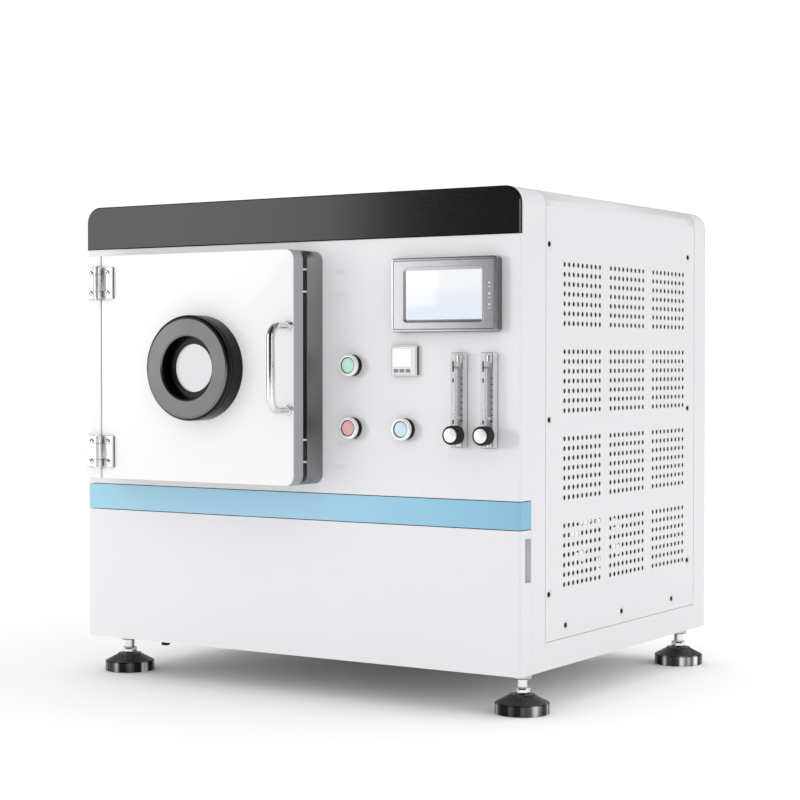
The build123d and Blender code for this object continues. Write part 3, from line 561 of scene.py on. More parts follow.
def circle(bm, radius, level=0.0, x=0.0, y=0.0, segments=64):
    made = bmesh.ops.create_circle(bm, cap_ends=False, radius=radius, segments=segments)["verts"]
    bmesh.ops.translate(bm, verts=made, vec=(x, y, level))
    return list({edge for vert in made for edge in vert.link_edges})


def rim_levels(thick, radius, steps=3):
    """Inset and level of each loop of a wall whose top edge is rounded."""
    turns = [step * math.pi / 2 / steps for step in range(steps + 1)]
    return [(0.0, 0.0)] + [(radius * (1 - math.cos(a)), thick - radius + radius * math.sin(a)) for a in turns]


def wall(bm, loops):
    for low, high in zip(loops, loops[1:]):
        bmesh.ops.bridge_loops(bm, edges=low + high)


def plate(bm, width, height, thick, corner, rim, holes=(), rounded=lambda corner: True):
    """A plate with a softened front rim. Each hole is a function that draws its loop at a level."""
    levels = rim_levels(thick, rim)
    loops = [outline(bm, width, height, corner, level, inset=inset, rounded=rounded)
             for inset, level in levels]
    wall(bm, loops)
    fronts, backs = list(loops[-1]), list(loops[0])
    for hole in holes:
        back, front = hole(bm, 0.0), hole(bm, thick)
        wall(bm, [back, front])
        fronts += front
        backs += back
    for edges in (fronts, backs):
        bmesh.ops.triangle_fill(bm, edges=edges, use_beauty=True)


def plate_of(node, corner, rim, holes=(), rounded=lambda corner: True):
    """A plate that fills the box of a CAD node."""
    low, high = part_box(node)
    middle = middle_of(low, high)
    bm = bmesh.new()
    plate(bm, high[0] - low[0], high[2] - low[2], high[1] - low[1], corner, rim, holes, rounded)
    stand_up(bm, middle.x, high[1], middle.z)
    return bm


# %% [markdown]
# The cover is one sheet bent over both sides and the top, with 756 punched holes in each side.
# A texture of holes would look flat, so each hole is real. One square tile with a round hole is
# bridged once and then repeated into rows, blocks and sides, and it meets a sheet that is cut
# along the same lines. The cuts stay inside the blocks, so the plain margins remain whole.

# %% Hole pattern
hole_pitch = 13.45 * mm
hole_radius = 3.6 * mm
hole_columns, hole_rows = 9, 7
first_hole_depth, first_hole_level = 124.2 * mm, 111.5 * mm
block_pitch_deep, block_pitch_high = 142.5 * mm, 119.4 * mm
blocks_deep, blocks_high = 3, 4
cover_low, cover_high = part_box("u_cover")
first_y = front_y + first_hole_depth - hole_pitch / 2
first_z = base_z + first_hole_level - hole_pitch / 2
columns = [first_y + block * block_pitch_deep + i * hole_pitch for block in range(blocks_deep)
           for i in range(hole_columns + 1)]
rows = [first_z + block * block_pitch_high + i * hole_pitch for block in range(blocks_high)
        for i in range(hole_rows + 1)]


def in_rows(z):
    return any(start < z < start + hole_rows * hole_pitch for start in rows[::hole_rows + 1])


def in_columns(y):
    return any(start < y < start + hole_columns * hole_pitch for start in columns[::hole_columns + 1])


# %% [markdown]
# The sheet is one open profile pulled to its depth, with its two upper bends rounded. Its walls
# are cut along the blocks of holes, and the faces where the hole tiles will lie are taken out.

# %% Sheet
cabinet_corner = 24 * mm
across, upward = (0.0, 1.0, 0.0), (0.0, 0.0, 1.0)


def side_faces(bm, test=lambda middle: True):
    """Faces of the two upright walls whose middle passes a test."""
    return [f for f in bm.faces if abs(f.normal.x) > 0.9 and test(f.calc_center_median())]


def cut(bm, faces, point, normal):
    """Cut some faces along a plane."""
    geom = faces + list({e for f in faces for e in f.edges}) + list({v for f in faces for v in f.verts})
    bmesh.ops.bisect_plane(bm, geom=geom, plane_co=point, plane_no=normal, dist=1e-6)


def by_the_blocks(middle):
    return columns[0] < middle.y < columns[-1]


bm = bmesh.new()
corners = [(cover_low[0], cover_low[2]), (cover_low[0], cover_high[2]), (cover_high[0], cover_high[2]),
           (cover_high[0], cover_low[2])]
section = [bm.verts.new((x, cover_low[1], z)) for x, z in corners]
section_edges = [bm.edges.new(pair) for pair in zip(section, section[1:])]
pulled = bmesh.ops.extrude_edge_only(bm, edges=section_edges)["geom"]
bmesh.ops.translate(bm, vec=(0.0, cover_high[1] - cover_low[1], 0.0), verts=verts_of(pulled))
round_edges(bm, edges_along(bm, 1, lambda m: m.z > cover_high[2] - mm), cabinet_corner, 8)
for y in (columns[0], columns[-1]):
    cut(bm, side_faces(bm), (0.0, y, 0.0), across)
for index, z in enumerate(rows):
    if index % (hole_rows + 1) in (0, hole_rows):
        cut(bm, side_faces(bm, by_the_blocks), (0.0, 0.0, z), upward)
for y in columns[1:-1]:
    cut(bm, side_faces(bm, lambda m: in_rows(m.z) and by_the_blocks(m)), (0.0, y, 0.0), across)
punched = side_faces(bm, lambda m: in_rows(m.z) and in_columns(m.y))
bmesh.ops.delete(bm, geom=punched, context="FACES_ONLY")

# %% [markdown]
# The cover is held by screws that sit in small pressed dimples, so their heads stay below the
# sheet. Each dimple is a square cut from the margin, bridged to a ring that sinks to a hole.

# %% Dimples
dimple_half, dimple_depth = 11 * mm, 1.7 * mm
dimple_rings = ((8.2, 0.02), (7.2, 0.35), (5.2, 1.5), (4.4, 1.7), (3.1, 1.72))
front_screws = [(81.5, 576.0), (81.5, 338.5), (81.5, 102.0)]
rear_screws = [(537.0, 578.0), (537.0, 345.0), (537.0, 109.0)]
low_screws = [(130.5, 55.0), (306.0, 55.0), (479.0, 55.0)]
screw_places = [(front_y + y * mm, base_z + z * mm) for y, z in front_screws + rear_screws + low_screws]


def press_dimple(bm, side, y, z):
    """Cut a square out of one side and fill it with a dimple that has a screw hole."""
    def here():
        found = []
        for face in side_faces(bm, lambda m: m.x * side > 0):
            ys, zs = [v.co.y for v in face.verts], [v.co.z for v in face.verts]
            if min(ys) < y < max(ys) and min(zs) < z < max(zs):
                found.append(face)
        return found
    for axis, place in ((1, y), (2, z)):
        for step in (-dimple_half, dimple_half):
            point, normal = Vector(), Vector()
            point[axis], normal[axis] = place + step, 1.0
            cut(bm, here(), point, normal)
    square = here()
    loops = [[e for f in square for e in f.edges]]
    bmesh.ops.delete(bm, geom=square, context="FACES_ONLY")
    for radius, sink in dimple_rings:
        ring = circle(bm, radius * mm, segments=24)
        verts = list({v for e in ring for v in e.verts})
        seat = Matrix.Translation((side * (cover_high[0] - sink * mm), y, z))
        bmesh.ops.transform(bm, matrix=seat @ Matrix.Rotation(math.pi / 2, 4, "Y"), verts=verts)
        loops.append(ring)
    wall(bm, loops)


for side in (-1, 1):
    for y, z in screw_places:
        press_dimple(bm, side, y, z)

# %% [markdown]
# One tile is made and repeated along the side and up it, then over the blocks and both sides.
# The finished sheet is smooth only round its two bends, and a modifier gives it its thickness.

# %% Hole tiles and the cover
tile = bmesh.new()
rim = bmesh.ops.create_circle(tile, cap_ends=False, radius=hole_radius, segments=12)["verts"]
square = bmesh.ops.create_grid(tile, x_segments=1, y_segments=1, size=hole_pitch / 2)["verts"]
bmesh.ops.delete(tile, geom=tile.faces[:], context="FACES_ONLY")
bmesh.ops.bridge_loops(tile, edges=tile.edges[:])
bmesh.ops.rotate(tile, verts=tile.verts, cent=(0, 0, 0), matrix=Matrix.Rotation(math.pi / 2, 3, "Y"))
bmesh.ops.translate(tile, verts=tile.verts,
                    vec=(cover_low[0], columns[0] + hole_pitch / 2, rows[0] + hole_pitch / 2))
for count, step in ((hole_columns, (0.0, hole_pitch, 0.0)), (hole_rows, (0.0, 0.0, hole_pitch)),
                    (blocks_deep, (0.0, block_pitch_deep, 0.0)), (blocks_high, (0.0, 0.0, block_pitch_high)),
                    (2, (cover_high[0] - cover_low[0], 0.0, 0.0))):
    pattern = tile.verts[:] + tile.edges[:] + tile.faces[:]
    for index in range(1, count):
        copy = bmesh.ops.duplicate(tile, geom=pattern)["geom"]
        bmesh.ops.translate(tile, verts=verts_of(copy), vec=Vector(step) * index)
join(bm, tile)
bmesh.ops.remove_doubles(bm, verts=bm.verts, dist=0.02 * mm)
cover = finish_piece("perforated_cover", bm, "cabinet_white", "cabinet", ["u_cover"], 12.0)
for polygon in cover.data.polygons:
    polygon.use_smooth = 0.02 < polygon.normal.z < 0.99
sheet = cover.modifiers.new("sheet", "SOLIDIFY")
sheet.thickness = 1.0 * mm
sheet.offset = -1.0

# %% [markdown]
# The screws are black button-head screws with a hexagon socket. Each is turned from a section
# with a domed head, and the socket is a six-sided pit.

# %% Cover screws


def socket_screw(bm, seat, radius, height, socket):
    """A domed head with a hexagon socket, moved to its seat."""
    part = bmesh.new()
    dome = [(socket, height), (radius * 0.7, height * 0.86), (radius * 0.94, height * 0.5), (radius, 0.0)]
    lathe(part, *dome, steps=24)
    underside = [e for e in part.edges if e.is_boundary and abs(e.verts[0].co.z) < mm * 0.01]
    bmesh.ops.holes_fill(part, edges=underside)
    pit = [[e for e in part.edges if e.is_boundary]]
    for level in (height, height * 0.35):
        pit.append(circle(part, socket * 0.86 * mm, level * mm, segments=6))
    wall(part, pit)
    bmesh.ops.holes_fill(part, edges=pit[-1])
    join(bm, part, seat)


screws = bmesh.new()
for side in (-1, 1):
    for y, z in screw_places:
        seat = Matrix.Translation((side * (cover_high[0] - dimple_depth), y, z))
        socket_screw(screws, seat @ Matrix.Rotation(side * math.pi / 2, 4, "Y"), 3.9, 1.5, 1.7)
finish_piece("cover_screws", screws, "black_plastic", "cabinet")

# %% [markdown]
# The black plate across the top is a thick glossy panel that stands a little proud, with a
# polished chamfer that catches a thin line of light all round.

# %% Top plate
low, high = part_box("header_panel")
bm = bmesh.new()
add_block(bm, low, high)
round_edges(bm, edges_along(bm, 1, lambda m: m.z > high[2] - mm), cabinet_corner, 12)
front_rim = [e for e in bm.edges if all(v.co.y < low[1] + 0.1 * mm for v in e.verts)]
round_edges(bm, front_rim, 1.5 * mm, 1)
finish_piece("top_plate", bm, "black_plate", "cabinet", ["header_panel"])

# %% [markdown]
# The chamber flange is a machined aluminium frame bolted to the panel. The door closes on it, and
# its mouth is the opening of the chamber behind. It is one plate with a rounded hole.

# %% Chamber flange
panel_corner = 14 * mm
chamber_sheet, mouth_corner = 12 * mm, 16 * mm
chamber_low, chamber_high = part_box("chamber_box")
chamber = middle_of(chamber_low, chamber_high)
flange = middle_of(*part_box("chamber_flange"))


def chamber_mouth(bm, level):
    return outline(bm, chamber_high[0] - chamber_low[0] - 2 * chamber_sheet,
                   chamber_high[2] - chamber_low[2] - 2 * chamber_sheet, mouth_corner, level,
                   x=chamber.x - flange.x, y=chamber.z - flange.z)


finish_piece("flange_frame", plate_of("chamber_flange", panel_corner, 0.8 * mm, [chamber_mouth]),
             "chamber_metal", "cabinet", ["chamber_flange"])

# %% [markdown]
# The door is a thick plate with a round window hole, enamelled white, with softened edges. The
# narrow block beside it carries the fixed half of the hinges and has the same finish. Only the
# outer corners of the pair are rounded.

# %% Door leaf and hinge bar
window_radius = 44 * mm
door = middle_of(*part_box("door_plate"))


def window_hole(bm, level):
    return circle(bm, window_radius, level, chamber.x - door.x, chamber.z - door.z, 96)


leaf = plate_of("door_plate", panel_corner, 1.6 * mm, [window_hole], lambda corner: corner.x > 0)
finish_piece("door_leaf", leaf, "door_metal", "door", ["door_plate"])
bar = plate_of("hinge_block", panel_corner, 1.2 * mm, (), lambda corner: corner.x < 0)
finish_piece("hinge_bar", bar, "door_metal", "cabinet", ["hinge_block"])

# %% [markdown]
# The window is held by a heavy turned ring. Its face is satin grey, a paler band on its front
# chamfer is a painted highlight, and the bore and the rest stay black. The section has a broad flat,
# chamfers, a groove and a step.

# %% Sight ring
bm = bmesh.new()
turned(bm, chamber.x, door_face, chamber.z,
       (50.3, 0), (74.3, 0), (74.3, 22.0), (73.5, 22.8), (73.5, 24.0), (74.3, 24.8), (74.3, 28.5),
       (73.2, 30.6), (70.4, 32.2), (68.8, 33.0), (47.0, 33.0), (44.7, 31.4), (44.7, 19.0), (35.0, 19.0),
       (34.0, 18.0), (34.0, 13.0), (50.3, 13.0), (50.3, 0), steps=96)
finish_piece("sight_ring", bm, "ring_metal", "door", ["window_ring"], 20.0)

# %% [markdown]
# The hinges are butt hinges in polished steel: a pair of leaves, three knuckle rings on a pin
# and four pan-head screws each. Each leaf is a bevelled plate and each knuckle is turned.

# %% Hinges
fixed_low, fixed_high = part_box("hinge_fixed_leaves")
pin = middle_of(*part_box("hinge_pins"))
leaf_height = 46 * mm
knuckle_end, knuckle_gap = 11 * mm, 0.3 * mm
hinge_levels = [fixed_low[2] + leaf_height / 2, fixed_high[2] - leaf_height / 2]
fixed_screw_x, door_screw_x = pin.x - 16.6 * mm, pin.x + 15.4 * mm
screw_drop = 14.7 * mm


def add_leaf(bm, side, level):
    """A flat leaf with rounded corners on one side of the pin."""
    near, far = sorted((pin.x + side * 7.8 * mm, pin.x + side * 25.7 * mm))
    part = bmesh.new()
    plate(part, far - near, leaf_height, leaf_thick, 1.5 * mm, 0.5 * mm)
    join(bm, part, on_wall((near + far) / 2, door_face, level))


def add_knuckle(bm, side, low, high):
    """One knuckle ring and the tongue that rolls out of its leaf."""
    length = (high - low) / mm
    upright(bm, pin.x, pin.y, low, (2.55, 0), (6.2, 0), (6.6, 0.4), (6.6, length - 0.4), (6.2, length),
            (2.55, length), (2.55, 0), steps=32)
    near, far = sorted((pin.x + side * 4 * mm, pin.x + side * 8.2 * mm))
    soft_block(bm, (near, leaf_face, low), (far, door_face - 0.05 * mm, high), 0.3 * mm)


fixed, moving, fixed_pit_shade, door_pit_shade = (bmesh.new() for _ in range(4))
for level in hinge_levels:
    bottom, top = level - leaf_height / 2, level + leaf_height / 2
    add_leaf(fixed, -1, level)
    add_leaf(moving, 1, level)
    add_knuckle(fixed, -1, bottom, bottom + knuckle_end)
    add_knuckle(fixed, -1, top - knuckle_end, top)
    add_knuckle(moving, 1, bottom + knuckle_end + knuckle_gap, top - knuckle_end - knuckle_gap)
    for place in (level - screw_drop, level + screw_drop):
        for leaf, pit_shade, x in ((fixed, fixed_pit_shade, fixed_screw_x), (moving, door_pit_shade, door_screw_x)):
            turned(leaf, x, leaf_face, place, (0, 0.9), (1.1, 1.1), (1.5, 2.1), (2.48, 2.2), (3.6, 1.496),
                   (4.0, 0.66), (4.0, -0.1), (0, -0.1), steps=24)
            turned(pit_shade, x, leaf_face, place, (0, 2.3), (1.35, 2.3), (1.35, 1.0), (0, 1.0), steps=16)
finish_piece("hinge_leaves_fixed", fixed, "polished_steel", "cabinet", ["hinge_fixed_leaves"],
             finish=hinge_steel)
finish_piece("hinge_leaves_door", moving, "polished_steel", "door", ["hinge_door_leaves"],
             finish=hinge_steel)
# Black discs fill the driver recesses of the hinge screws: a painted shade in the pits.
finish_piece("hinge_driver_pit_shade_cabinet", fixed_pit_shade, "black_plastic", "cabinet")
finish_piece("hinge_driver_pit_shade_door", door_pit_shade, "black_plastic", "door")

# %% [markdown]
# The door handle is a polished bar bent into a U, with a small collar where each end is screwed
# to the door. One circle is pulled along the straight runs and spun round the two bends.

# %% Door handle
low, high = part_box("door_handle")
bar_radius, bend_radius = 6 * mm, 17 * mm
handle_x = (low[0] + high[0]) / 2
bar_y = low[1] + bar_radius
foot_levels = (low[2] + bar_radius, high[2] - bar_radius)


def pull(bm, rim, vec):
    made = bmesh.ops.extrude_edge_only(bm, edges=rim)["geom"]
    bmesh.ops.translate(bm, vec=vec, verts=verts_of(made))
    return [e for e in edges_of(made) if e.is_boundary]


def bend(bm, rim, centre, angle):
    verts = list({v for e in rim for v in e.verts})
    made = bmesh.ops.spin(bm, geom=verts + rim, cent=centre, axis=(1, 0, 0), angle=angle, steps=12)
    return edges_of(made["geom_last"])


bm = bmesh.new()
ring = bmesh.ops.create_circle(bm, cap_ends=False, radius=bar_radius, segments=32)["verts"]
bmesh.ops.rotate(bm, verts=ring, cent=(0, 0, 0), matrix=Matrix.Rotation(math.pi / 2, 3, "X"))
bmesh.ops.translate(bm, verts=ring, vec=(handle_x, door_face, foot_levels[0]))
rim = pull(bm, bm.edges[:], (0, bar_y + bend_radius - door_face, 0))
rim = bend(bm, rim, (handle_x, bar_y + bend_radius, foot_levels[0] + bend_radius), -math.pi / 2)
rim = pull(bm, rim, (0, 0, foot_levels[1] - foot_levels[0] - 2 * bend_radius))
rim = bend(bm, rim, (handle_x, bar_y + bend_radius, foot_levels[1] - bend_radius), -math.pi / 2)
pull(bm, rim, (0, door_face - bar_y - bend_radius, 0))
bmesh.ops.holes_fill(bm, edges=[e for e in bm.edges if e.is_boundary])
for level in foot_levels:
    turned(bm, handle_x, door_face, level, (5.9, 5.4), (6.6, 5.2), (7.0, 4.4), (7.6, 1.0), (8.2, 0), (5.9, 0),
           steps=32)
finish_piece("handle_bar", bm, "polished_steel", "door", ["door_handle"], 40.0)

# %% [markdown]
# Two black guide blocks stand on the flange beside the seal, one high and one low. Pale caps
# at their ends are painted highlights. The pieces of the door are then set to let the key light
# through, so that it leaves no wide shadow on the panel.

# %% Door guides
low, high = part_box("door_catches")
guide_height = 28 * mm
guides, end_glints = bmesh.new(), bmesh.new()
for bottom in (low[2], high[2] - guide_height):
    soft_block(guides, (low[0], low[1], bottom), (high[0], high[1], bottom + guide_height), 0.6 * mm)
    for start in (bottom - 2.6 * mm, bottom + guide_height + 0.1 * mm):
        # Pale caps at each end of a guide: painted highlights.
        soft_block(end_glints, (low[0], low[1], start), (high[0] + 0.4 * mm, high[1] - 0.2 * mm, start + 2.5 * mm),
                   0.6 * mm)
finish_piece("door_guides", guides, "black_plastic", "cabinet", ["door_catches"])
finish_piece("guide_end_glints", end_glints, "rail_plastic", "cabinet")
door_pieces = ("flange_frame", "door_leaf", "hinge_bar", "sight_ring", "handle_bar", "hinge_leaves_fixed",
               "hinge_leaves_door", "door_back_plate", "door_seal", "door_guides")
leave_out(door_group, *[scene.objects[name] for name in door_pieces])

# %% [markdown]
# The touch panel sits in a brushed aluminium bezel with a rolled outer edge. A fine groove runs
# just inside the edge and a step leads down to the screen. The stack of outlines is the section
# of that bezel, followed from the panel over the edge, the groove and the step. A bridge between
# two loops at one level can pair the wrong corners, so flat stretches fall by a hair.

# %% Touch panel bezel
low, high = hmi_box
bezel_middle = middle_of(low, high)
bezel_proud = front_y - low[1]


def front_loops(bm, box, centre, corner, proud, steps):
    """Outlines of a box, drawn lying down, each inset and sunk by some millimetres."""
    low, high = box
    shift = middle_of(low, high) - centre
    return [outline(bm, high[0] - low[0], high[2] - low[2], corner, proud - sink * mm, x=shift.x, y=shift.z,
                    inset=inset * mm) for inset, sink in steps]


def close_frame(bm, outer, inner, wells=()):
    """Walls through both stacks of outlines, a face between them and a face on each end."""
    wall(bm, outer)
    wall(bm, inner)
    bmesh.ops.triangle_fill(bm, edges=outer[-1] + inner[0] + list(wells), use_beauty=True)
    bmesh.ops.holes_fill(bm, edges=outer[0])
    bmesh.ops.holes_fill(bm, edges=inner[-1])


def on_the_bezel_lines(place):
    inset = inset_of(place, hmi_box)
    return inset < 0.6 * mm or 3.7 * mm < inset < 4.3 * mm


bm = bmesh.new()
outer = front_loops(bm, hmi_box, bezel_middle, 5 * mm, bezel_proud, (
    (0, bezel_proud / mm), (0, 2.2), (0.25, 1.1), (0.8, 0.35), (1.5, 0.02), (3.4, 0.0), (3.6, 0.5),
    (4.4, 0.52), (4.7, 0.1)))
inner = front_loops(bm, (screen_low, screen_high), bezel_middle, 1.2 * mm, bezel_proud, (
    (-5.0, 0.1), (-4.7, -0.25), (-4.1, -0.23), (-3.7, 0.1), (-0.6, 0.7), (-0.1, 1.4), (-0.1, 3.6)))
close_frame(bm, outer, inner)
stand_up(bm, bezel_middle.x, front_y, bezel_middle.z)
body_low = (screen_low[0] - 12 * mm, front_y - 0.5 * mm, low[2] + 9 * mm)
soft_block(bm, body_low, (screen_high[0] + 12 * mm, high[1], high[2] - 9 * mm), 1.5 * mm)
bezel = finish_piece("touch_panel_bezel", bm, "hmi_metal", "cabinet", ["hmi_housing"])
# The rolled outer edge and the fine groove of the bezel are painted dark: a painted reflection and a painted
# shade.
second_finish(bezel, dark_edge_paint, on_the_bezel_lines)

# %% [markdown]
# The screen is a thin lit pane. Three small lamps stand in the bezel beside it, each a turned
# dome over a short raised bar.

# %% Screen and status lamps
bm = bmesh.new()
soft_block(bm, screen_low, screen_high, 0.3 * mm)
finish_piece("screen_pane", bm, "screen_glass", "cabinet", ["hmi_screen"])
lamp_x, lamp_face = bezel_middle.x + 71.7 * mm, low[1]
bar_half, bar_low, bar_high = 2.4 * mm, 5.4, 4.5
bm = bmesh.new()
for level in (579.6, 565.2, 551.0):
    turned(bm, lamp_x, lamp_face, level * mm, (1.5, -0.3), (1.5, 0.1), (1.1, 0.35), (0, 0.45), steps=20)
    soft_block(bm, (lamp_x - bar_half, lamp_face - 0.08 * mm, (level - bar_low) * mm),
               (lamp_x + bar_half, lamp_face + 0.3 * mm, (level - bar_high) * mm), 0.04 * mm, 1)
finish_piece("status_lamps", bm, "meter_white", "cabinet")

# %% [markdown]
# The vacuum meter is a small white moulding, mounted flush with a rounded frame. Its display
# window lies in a shallow well, and three keys below it press in by less than a millimetre.

# %% Vacuum meter
meter_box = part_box("meter_case")
low, high = meter_box
meter_middle = middle_of(low, high)
meter_proud = front_y - low[1]
window_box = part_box("meter_display")
key_boxes = [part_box(f"meter_key_{index}") for index in (1, 2, 3)]
well_gap, well_depth = 0.35, 3.6
body_inset = 2.5 * mm
bm = bmesh.new()
outer = front_loops(bm, meter_box, meter_middle, 2.4 * mm, meter_proud, (
    (0, meter_proud / mm), (0, 1.2), (0.3, 0.35), (0.8, 0.02), (1.5, 0.0), (1.7, 0.4), (2.0, 0.42),
    (2.2, 0.1)))
inner = front_loops(bm, window_box, meter_middle, 0.8 * mm, meter_proud, (
    (-1.0, 0.1), (-0.7, 0.6), (-0.05, 0.7), (-0.05, 1.6)))
wells = []
for key_box in key_boxes:
    loops = front_loops(bm, key_box, meter_middle, 0.6 * mm, meter_proud,
                        ((-well_gap, 0.1), (-well_gap, well_depth)))
    wall(bm, loops)
    bmesh.ops.holes_fill(bm, edges=loops[-1])
    wells += loops[0]
close_frame(bm, outer, inner, wells)
stand_up(bm, meter_middle.x, front_y, meter_middle.z)
soft_block(bm, (low[0] + body_inset, front_y - 0.5 * mm, low[2] + body_inset),
           (high[0] - body_inset, high[1], high[2] - body_inset), 1.0 * mm)
meter = finish_piece("meter_body", bm, "meter_white", "cabinet", ["meter_case"])
# The meter case's side walls are painted dark: a painted shade.
second_finish(meter, painted_side_shade_and_black_seal, lambda p: inset_of(p, meter_box) < 0.1 * mm)
# The meter's frame groove is painted grey: a painted shade in the groove.
second_finish(meter, painted_groove_shade, lambda p: 1.55 * mm < inset_of(p, meter_box) < 2.15 * mm)

bm = bmesh.new()
soft_block(bm, *window_box, 0.2 * mm)
finish_piece("meter_window", bm, "display_dark", "cabinet", ["meter_display"])
for index, key_box in enumerate(key_boxes, start=1):
    bm = bmesh.new()
    soft_block(bm, *key_box, 0.5 * mm, 3)
    finish_piece(f"meter_key_cap_{index}", bm, "key_grey", f"meter_key_{index}", [f"meter_key_{index}"])

# %% [markdown]
# Each push button is a black collar, a satin ring and a domed lens that moves inside them. All
# three are turned. The collars share one piece and the rings another, as the CAD nodes do.

# %% Push buttons
collar = ((11.3, 0), (15.0, 0), (15.0, 8.4), (14.7, 8.9), (11.3, 8.9), (11.3, 13.3), (10.75, 13.4),
          (10.7, 2.5), (11.3, 0))
ring = ((11.4, 9.0), (15.0, 9.0), (15.3, 9.3), (15.3, 12.4), (14.9, 13.3), (13.9, 13.9), (12.2, 14.0),
        (11.6, 13.8), (11.4, 13.3), (11.4, 9.0))
lens = ((0, 3.1), (10.55, 3.1), (10.55, 11.9), (10.3, 12.6), (9.5, 13.0), (7, 13.3), (3.5, 13.5), (0, 13.55))
collars, rings = bmesh.new(), bmesh.new()
for button, colour in (("start_button", "green"), ("stop_button", "red"), ("power_button", "blue")):
    place = middle_of(*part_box(button))
    turned(collars, place.x, front_y, place.z, *collar)
    turned(rings, place.x, front_y, place.z, *ring)
    bm = bmesh.new()
    turned(bm, place.x, front_y, place.z, *lens)
    finish_piece(button.replace("button", "lens"), bm, "lens_" + colour, button, [button])
finish_piece("collars", collars, "black_plastic", "cabinet", ["button_collars"])
finish_piece("button_rings", rings, "bezel_silver", "cabinet", ["button_bezels"])

# %% [markdown]
# Each flowmeter is a block of clear acrylic with a metering bore down its length. The bore
# shows as a grey stripe, so its back wall is a half tube of its own, painted darker to the right: a painted
# shade.
# Plated plugs and a dark seal close it, and a bare scale of short ticks is printed on the face.

# %% Flowmeters
tick_start, tick_step, tick_count = 396.5 * mm, 8.15 * mm, 8
tick_size, first_tick_size = (2.6 * mm, 1.7 * mm), (3.8 * mm, 2.4 * mm)
tick_reach, bar_reach, bar_width = 7.2 * mm, 5.6 * mm, 2.4 * mm
bars = ((469.0, 14.0), (450.5, 5.5), (395.0, 5.5))
plug = ((0, 0), (3.0, 0), (3.0, 1.5), (4.4, 2.2), (4.4, 10.2), (3.8, 10.9), (0, 10.9))
port = ((0, -12), (4.6, -12), (5.0, -11.4), (5.0, 2.4), (0, 2.4))
bob = ((0, 0), (1.1, 0.8), (2.3, 4.0), (2.3, 5.4), (1.9, 6.0), (0, 6.0))
block_gap = 0.1 * mm
bore_inner, bore_outer, bore_ends = 2.9, 3.2, 36


def tick(bm, x, z, width, height, face):
    """A printed mark, a hair proud of the block's face."""
    soft_block(bm, (x - width / 2, face - 0.15 * mm, z - height / 2),
               (x + width / 2, face + 0.02 * mm, z + height / 2), 0.03 * mm, 1)


for side in ("a", "b"):
    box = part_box("flowmeter_" + side)
    low, high = box
    float_low, float_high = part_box("flow_float_" + side)
    x = (low[0] + high[0]) / 2
    bore_y = (float_low[1] + float_high[1]) / 2
    bm = bmesh.new()
    plate(bm, high[0] - low[0], high[2] - low[2], front_y - low[1] - block_gap, 1.2 * mm, 0.7 * mm)
    stand_up(bm, x, front_y - block_gap, (low[2] + high[2]) / 2)
    block = finish_piece("flow_block_" + side, bm, "clear_acrylic", "cabinet", ["flowmeter_" + side])
    # The front edges of each clear block are painted dark: a painted outline where the edges bend the light.
    second_finish(block, dark_edge_paint, lambda p: inset_of(p, box) < 0.6 * mm and abs(p.y - low[1]) < 0.75 * mm)
    # The block's sides take the finish that darkens towards the panel: a painted shade.
    second_finish(block, clear_side_shade_paint, lambda p: inset_of(p, box) < 0.05 * mm)

    fittings = bmesh.new()
    upright(fittings, x, bore_y, high[2] - 14.2 * mm, *plug)
    upright(fittings, x, bore_y, low[2] + 2.5 * mm, (0, 0), (4.2, 0), (4.2, 8.0), (3.2, 8.6), (0, 8.6))
    for level in (low[2] + 14 * mm, high[2] - 14 * mm):
        turned(fittings, x, front_y, level, *port, steps=32)
    finish_piece("flow_fittings_" + side, fittings, "polished_steel", "cabinet")

    bore = bmesh.new()
    bore_height = (high[2] - low[2]) / mm - bore_ends
    upright(bore, x, bore_y, low[2] + 17 * mm, (bore_inner, 0), (bore_inner, bore_height),
            (bore_outer, bore_height), (bore_outer, 0), (bore_inner, 0), steps=14, angle=math.pi)
    # The bore's back wall is painted darker to the right: a painted shade, as on a tube lit from the left.
    bore_painted_shade = base_finish("bore_wall_" + side, (0.4, 0.4, 0.42), 0.4)
    tint_along(bore_painted_shade, "X", x - 6.0 * mm, x + 4.0 * mm,
               (0.4, 0.4, 0.43), (0.18, 0.18, 0.2), (0.02, 0.02, 0.025))
    finish_piece("flow_bore_" + side, bore, "dark_metal", "cabinet", finish=bore_painted_shade)
    seal = bmesh.new()
    soft_block(seal, (low[0] + 1.2 * mm, low[1] + 0.8 * mm, high[2] - 21.5 * mm),
               (high[0] - 1.2 * mm, low[1] + 4.0 * mm, high[2] - 18.5 * mm), 0.8 * mm)
    finish_piece("flow_seal_" + side, seal, "seal_rubber", "cabinet", finish=painted_side_shade_and_black_seal)

    marks = bmesh.new()
    for index in range(tick_count):
        size = tick_size if index else first_tick_size
        tick(marks, x + tick_reach, tick_start + index * tick_step, *size, low[1])
    for level, height in bars:
        tick(marks, x - bar_reach, level * mm, bar_width, height * mm, low[1])
    finish_piece("flow_scale_" + side, marks, "black_plastic", "cabinet", finish=ink)

    bm = bmesh.new()
    upright(bm, x, bore_y, float_low[2], *bob)
    finish_piece("flow_bob_" + side, bm, "polished_steel", "flow_float_" + side, ["flow_float_" + side])

# %% [markdown]
# The valve knobs are black with fine ribs and a domed bright cap. The ribs come from a circle
# whose every other point is drawn in, pulled to the knob's length.

# %% Valve knobs
rib_count, rib_share = 40, 0.962
knob_radius, dish_radius = 12.8, 9.9
grip_start, grip_end = 14.3 * mm, 31.3 * mm
cap = ((0, 30.6), (9.7, 30.6), (9.7, 31.5), (9.3, 32.1), (8.2, 32.5), (6.2, 32.6), (5.9, 32.1), (5.3, 32.1),
       (5.0, 32.6), (2.5, 33.0), (0, 33.1))


